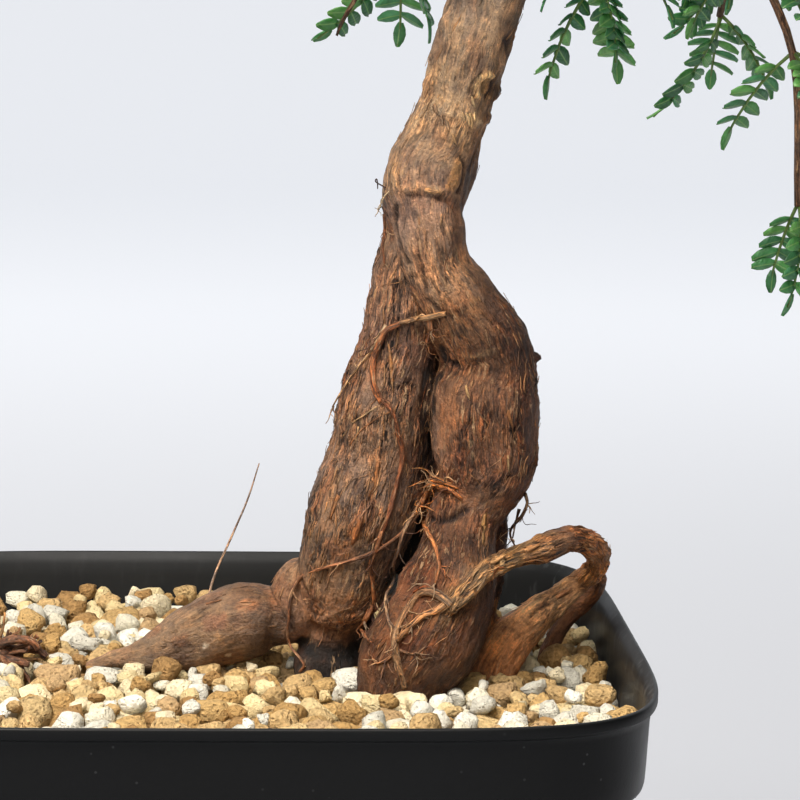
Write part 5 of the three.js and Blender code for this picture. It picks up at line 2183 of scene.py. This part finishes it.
@dataclass
class Foliage:
    """Leafy stems: thin zigzag twigs with small pinnate leaves."""

    twig_finish: BarkFinish
    leaf_finish: LeafFinish = field(default_factory=LeafFinish)
    leaf_length: float = 21.0
    pairs: int = 5
    leaflet_length: float = 4.6
    leaflet_width: float = 2.5
    thickness: float = 0.22
    arch: float = 0.3
    cup: float = 0.12
    droop: float = 0.16
    twig_radius: float = 0.95
    twig_tip_radius: float = 0.6
    zigzag: float = 2.2
    bare_stalk: float = 0.15
    bare_tip: float = 0.2
    greens: tuple[str, ...] = ("#417b4c", "#4f8a50", "#386e4a", "#609954", "#448059")

    def leaflet(self) -> Mesh:
        """One leaflet, a thin oval blade folded at its middle vein, along +X and a unit long."""
        bm = bmesh.new()
        bmesh.ops.create_grid(bm, x_segments=4, y_segments=2, size=0.5)
        half_width = 0.5 * self.leaflet_width / self.leaflet_length
        for corner in bm.verts:
            share = corner.co.x + 0.5
            oval = math.sin(math.pi * (0.1 + 0.82 * share)) ** 0.8
            side = corner.co.y * 2
            corner.co = Vector((
                share, side * half_width * oval,
                self.cup * abs(side) * half_width * 2 - self.droop * share**2,
            ))
        bmesh.ops.solidify(bm, geom=list(bm.faces), thickness=self.thickness / self.leaflet_length)
        # Solidify lists the rim's faces in another order each run.
        order = Vector((1, 3, 9))
        bm.faces.sort(key=lambda face: face.calc_center_median().dot(order))
        return freed_mesh(bm, "leaflet_template")

    def add_leaf(
        self, bm: BMesh, template: Mesh, foot: Vector, heading: Vector, length: float, seed: int
    ) -> None:
        """Adds one pinnate leaf.

        Args:
            bm: The stem's mesh, in millimetres.
            template: One leaflet.
            foot: Where the leaf stands on its twig.
            heading: The direction in which it points.
            length: Its length.
            seed: The seed of its small differences.
        """
        dice = random.Random(seed)
        flow = bm.verts.layers.float_vector["flow"]
        tone = bm.verts.layers.float_color["tone"]
        forward = heading.normalized()
        up = Vector((0.15, 0.1, 1))
        if abs(forward.dot(up)) > 0.9:
            up = Vector((0.8, -0.6, 0.2))
        up = (up - forward * up.dot(forward)).normalized()
        across = up.cross(forward)
        frame = Matrix((forward, across, up)).transposed().to_4x4()
        frame.translation = foot
        rachis: list[Station] = []
        for step in range(6):
            share = step / 5 * 0.92
            point = frame @ Vector((share * length, 0, 0.3 - self.arch * length * share**2))
            rachis.append((*point, 0.34 - 0.16 * share))
        for corner in Strand(rachis, sides=5, cuts=1, tone="#5f7a3c").build(bm):
            corner[flow] = Vector((0, 1, 0))
        stalk, tip = self.bare_stalk, self.bare_tip
        for number in range(2 * self.pairs + 1):
            terminal = number == 2 * self.pairs
            pair = number // 2
            side = 1 if number % 2 else -1
            share = 1 - tip if terminal else stalk + (pair + 0.4) * (1 - stalk - tip) / self.pairs
            size = self.leaflet_length * (1 - 0.07 * abs(pair - self.pairs / 2)) * dice.uniform(0.9, 1.06)
            angle = 0.0 if terminal else side * math.radians(dice.uniform(62, 74))
            drop = -2 * self.arch * share
            turn = Matrix.Rotation(angle, 4, "Z") @ Matrix.Rotation(dice.uniform(-0.25, 0.25), 4, "X")
            lean = Matrix.Rotation(-math.atan(drop) if terminal else dice.uniform(-0.15, 0.12), 4, "Y")
            foot_point = Vector((share * length, 0, 0.3 - self.arch * length * share**2))
            matrix = frame @ Matrix.Translation(foot_point) @ turn @ lean @ Matrix.Scale(size, 4)
            first = len(bm.verts)
            bm.from_mesh(template)
            bm.verts.ensure_lookup_table()
            colour = np.array(linear(dice.choice(self.greens)))
            colour[:3] *= dice.uniform(0.8, 1.2)
            for corner in bm.verts[first:]:
                corner[flow] = corner.co * size * MM
                corner[tone] = colour
                corner.co = matrix @ corner.co

    def build_spray(self, plan: SprayPlan, template: Mesh, materials: list[Material]) -> None:
        """Builds one leafy stem where its solid stands.

        Args:
            plan: The stem's places.
            template: One leaflet.
            materials: The twig's and the leaf's material.
        """
        bm = bmesh.new()
        start = Vector(plan.start)
        outward = (start - Vector(plan.root)).normalized()
        start = start + outward * 0.05
        run = Vector(plan.tip) - start
        side = run.cross(Vector((0.2, 0.3, 1))).normalized()
        stations: list[Station] = [(*start, self.twig_radius), (*(start + outward * 2), self.twig_radius)]
        for bend in range(1, plan.leaves + 1):
            share = bend / plan.leaves
            place = start + run * share
            if bend < plan.leaves:
                place += side * self.zigzag * (1 if bend % 2 else -1)
            place.z += plan.arch * 4 * share * (1 - share)
            radius = self.twig_radius + (self.twig_tip_radius - self.twig_radius) * share
            stations.append((*place, radius))
        Strand(stations, sides=8, cuts=5, tone="#6b5442").build(bm)
        forward = run.normalized()
        third = forward.cross(side)
        golden = math.pi * (3 - math.sqrt(5))
        solid_start_x = plan.start[0] + outward.x * 0.35
        twig_faces = len(bm.faces)
        for bend in range(1, plan.leaves + 1):
            foot = Vector(stations[bend + 1][:3])
            size = self.leaf_length * (1 + 0.12 * scatter(bend, solid_start_x, 4))
            for extra, (shift, share) in enumerate(((0.0, 1.0), (2.2, 0.82), (4.1, 0.7))):
                angle = bend * golden + solid_start_x + shift
                heading = forward * (0.55 if bend < plan.leaves else 1.2)
                heading = heading + side * math.cos(angle) + third * math.sin(angle) * 0.7
                self.add_leaf(
                    bm, template, foot, heading, size * share,
                    int(1000 * abs(plan.tip[0]) + 10 * bend + extra),
                )
        bm.faces.ensure_lookup_table()
        for face in bm.faces[twig_faces:]:
            face.material_index = 1
        make_piece(bm, plan.name.replace("spray", "foliage"), materials, [plan.name])

    def build(self) -> None:
        """Builds all leafy stems."""
        template = self.leaflet()
        materials = [self.twig_finish.build(), self.leaf_finish.build()]
        for plan in SPRAYS:
            self.build_spray(plan, template, materials)
        bpy.data.meshes.remove(template)


def main() -> None:
    """Loads the solids and builds everything that dresses them."""
    logging.basicConfig(level=logging.INFO, format="%(name)s: %(message)s")
    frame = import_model()
    LOG.info("solids: %d nodes", len(frame["nodes"]))
    camera = PhotoCamera()
    camera.build()
    Studio().build()
    pot = NurseryPot()
    pot.build()
    GritBed(pot, keep_clear_rings()).build()
    bark = BarkFinish("rough caudex bark")
    caudex = Caudex(camera, bark)
    caudex.build()
    Branches(BarkFinish("old branch bark", roughness=0.85)).build()
    thin_skin = BarkFinish("dry root skin", fibre=(0.25, 1.6), plate=(0.6, 5.2), relief=0.2)
    ThinRoots(caudex, thin_skin).build()
    BarkFlakes(caudex, BarkFinish("torn bark", fibre=(0.2, 1.6), relief=0.15)).build()
    DryRoot(BarkFinish("dried dead root", fibre=(0.25, 3.4), plate=(0.7, 5.2), relief=0.25)).build()
    Foliage(BarkFinish("thin twig bark", fibre=(0.25, 3.4), plate=(0.6, 5.2), relief=0.12)).build()


if __name__ == "__main__":
    main()
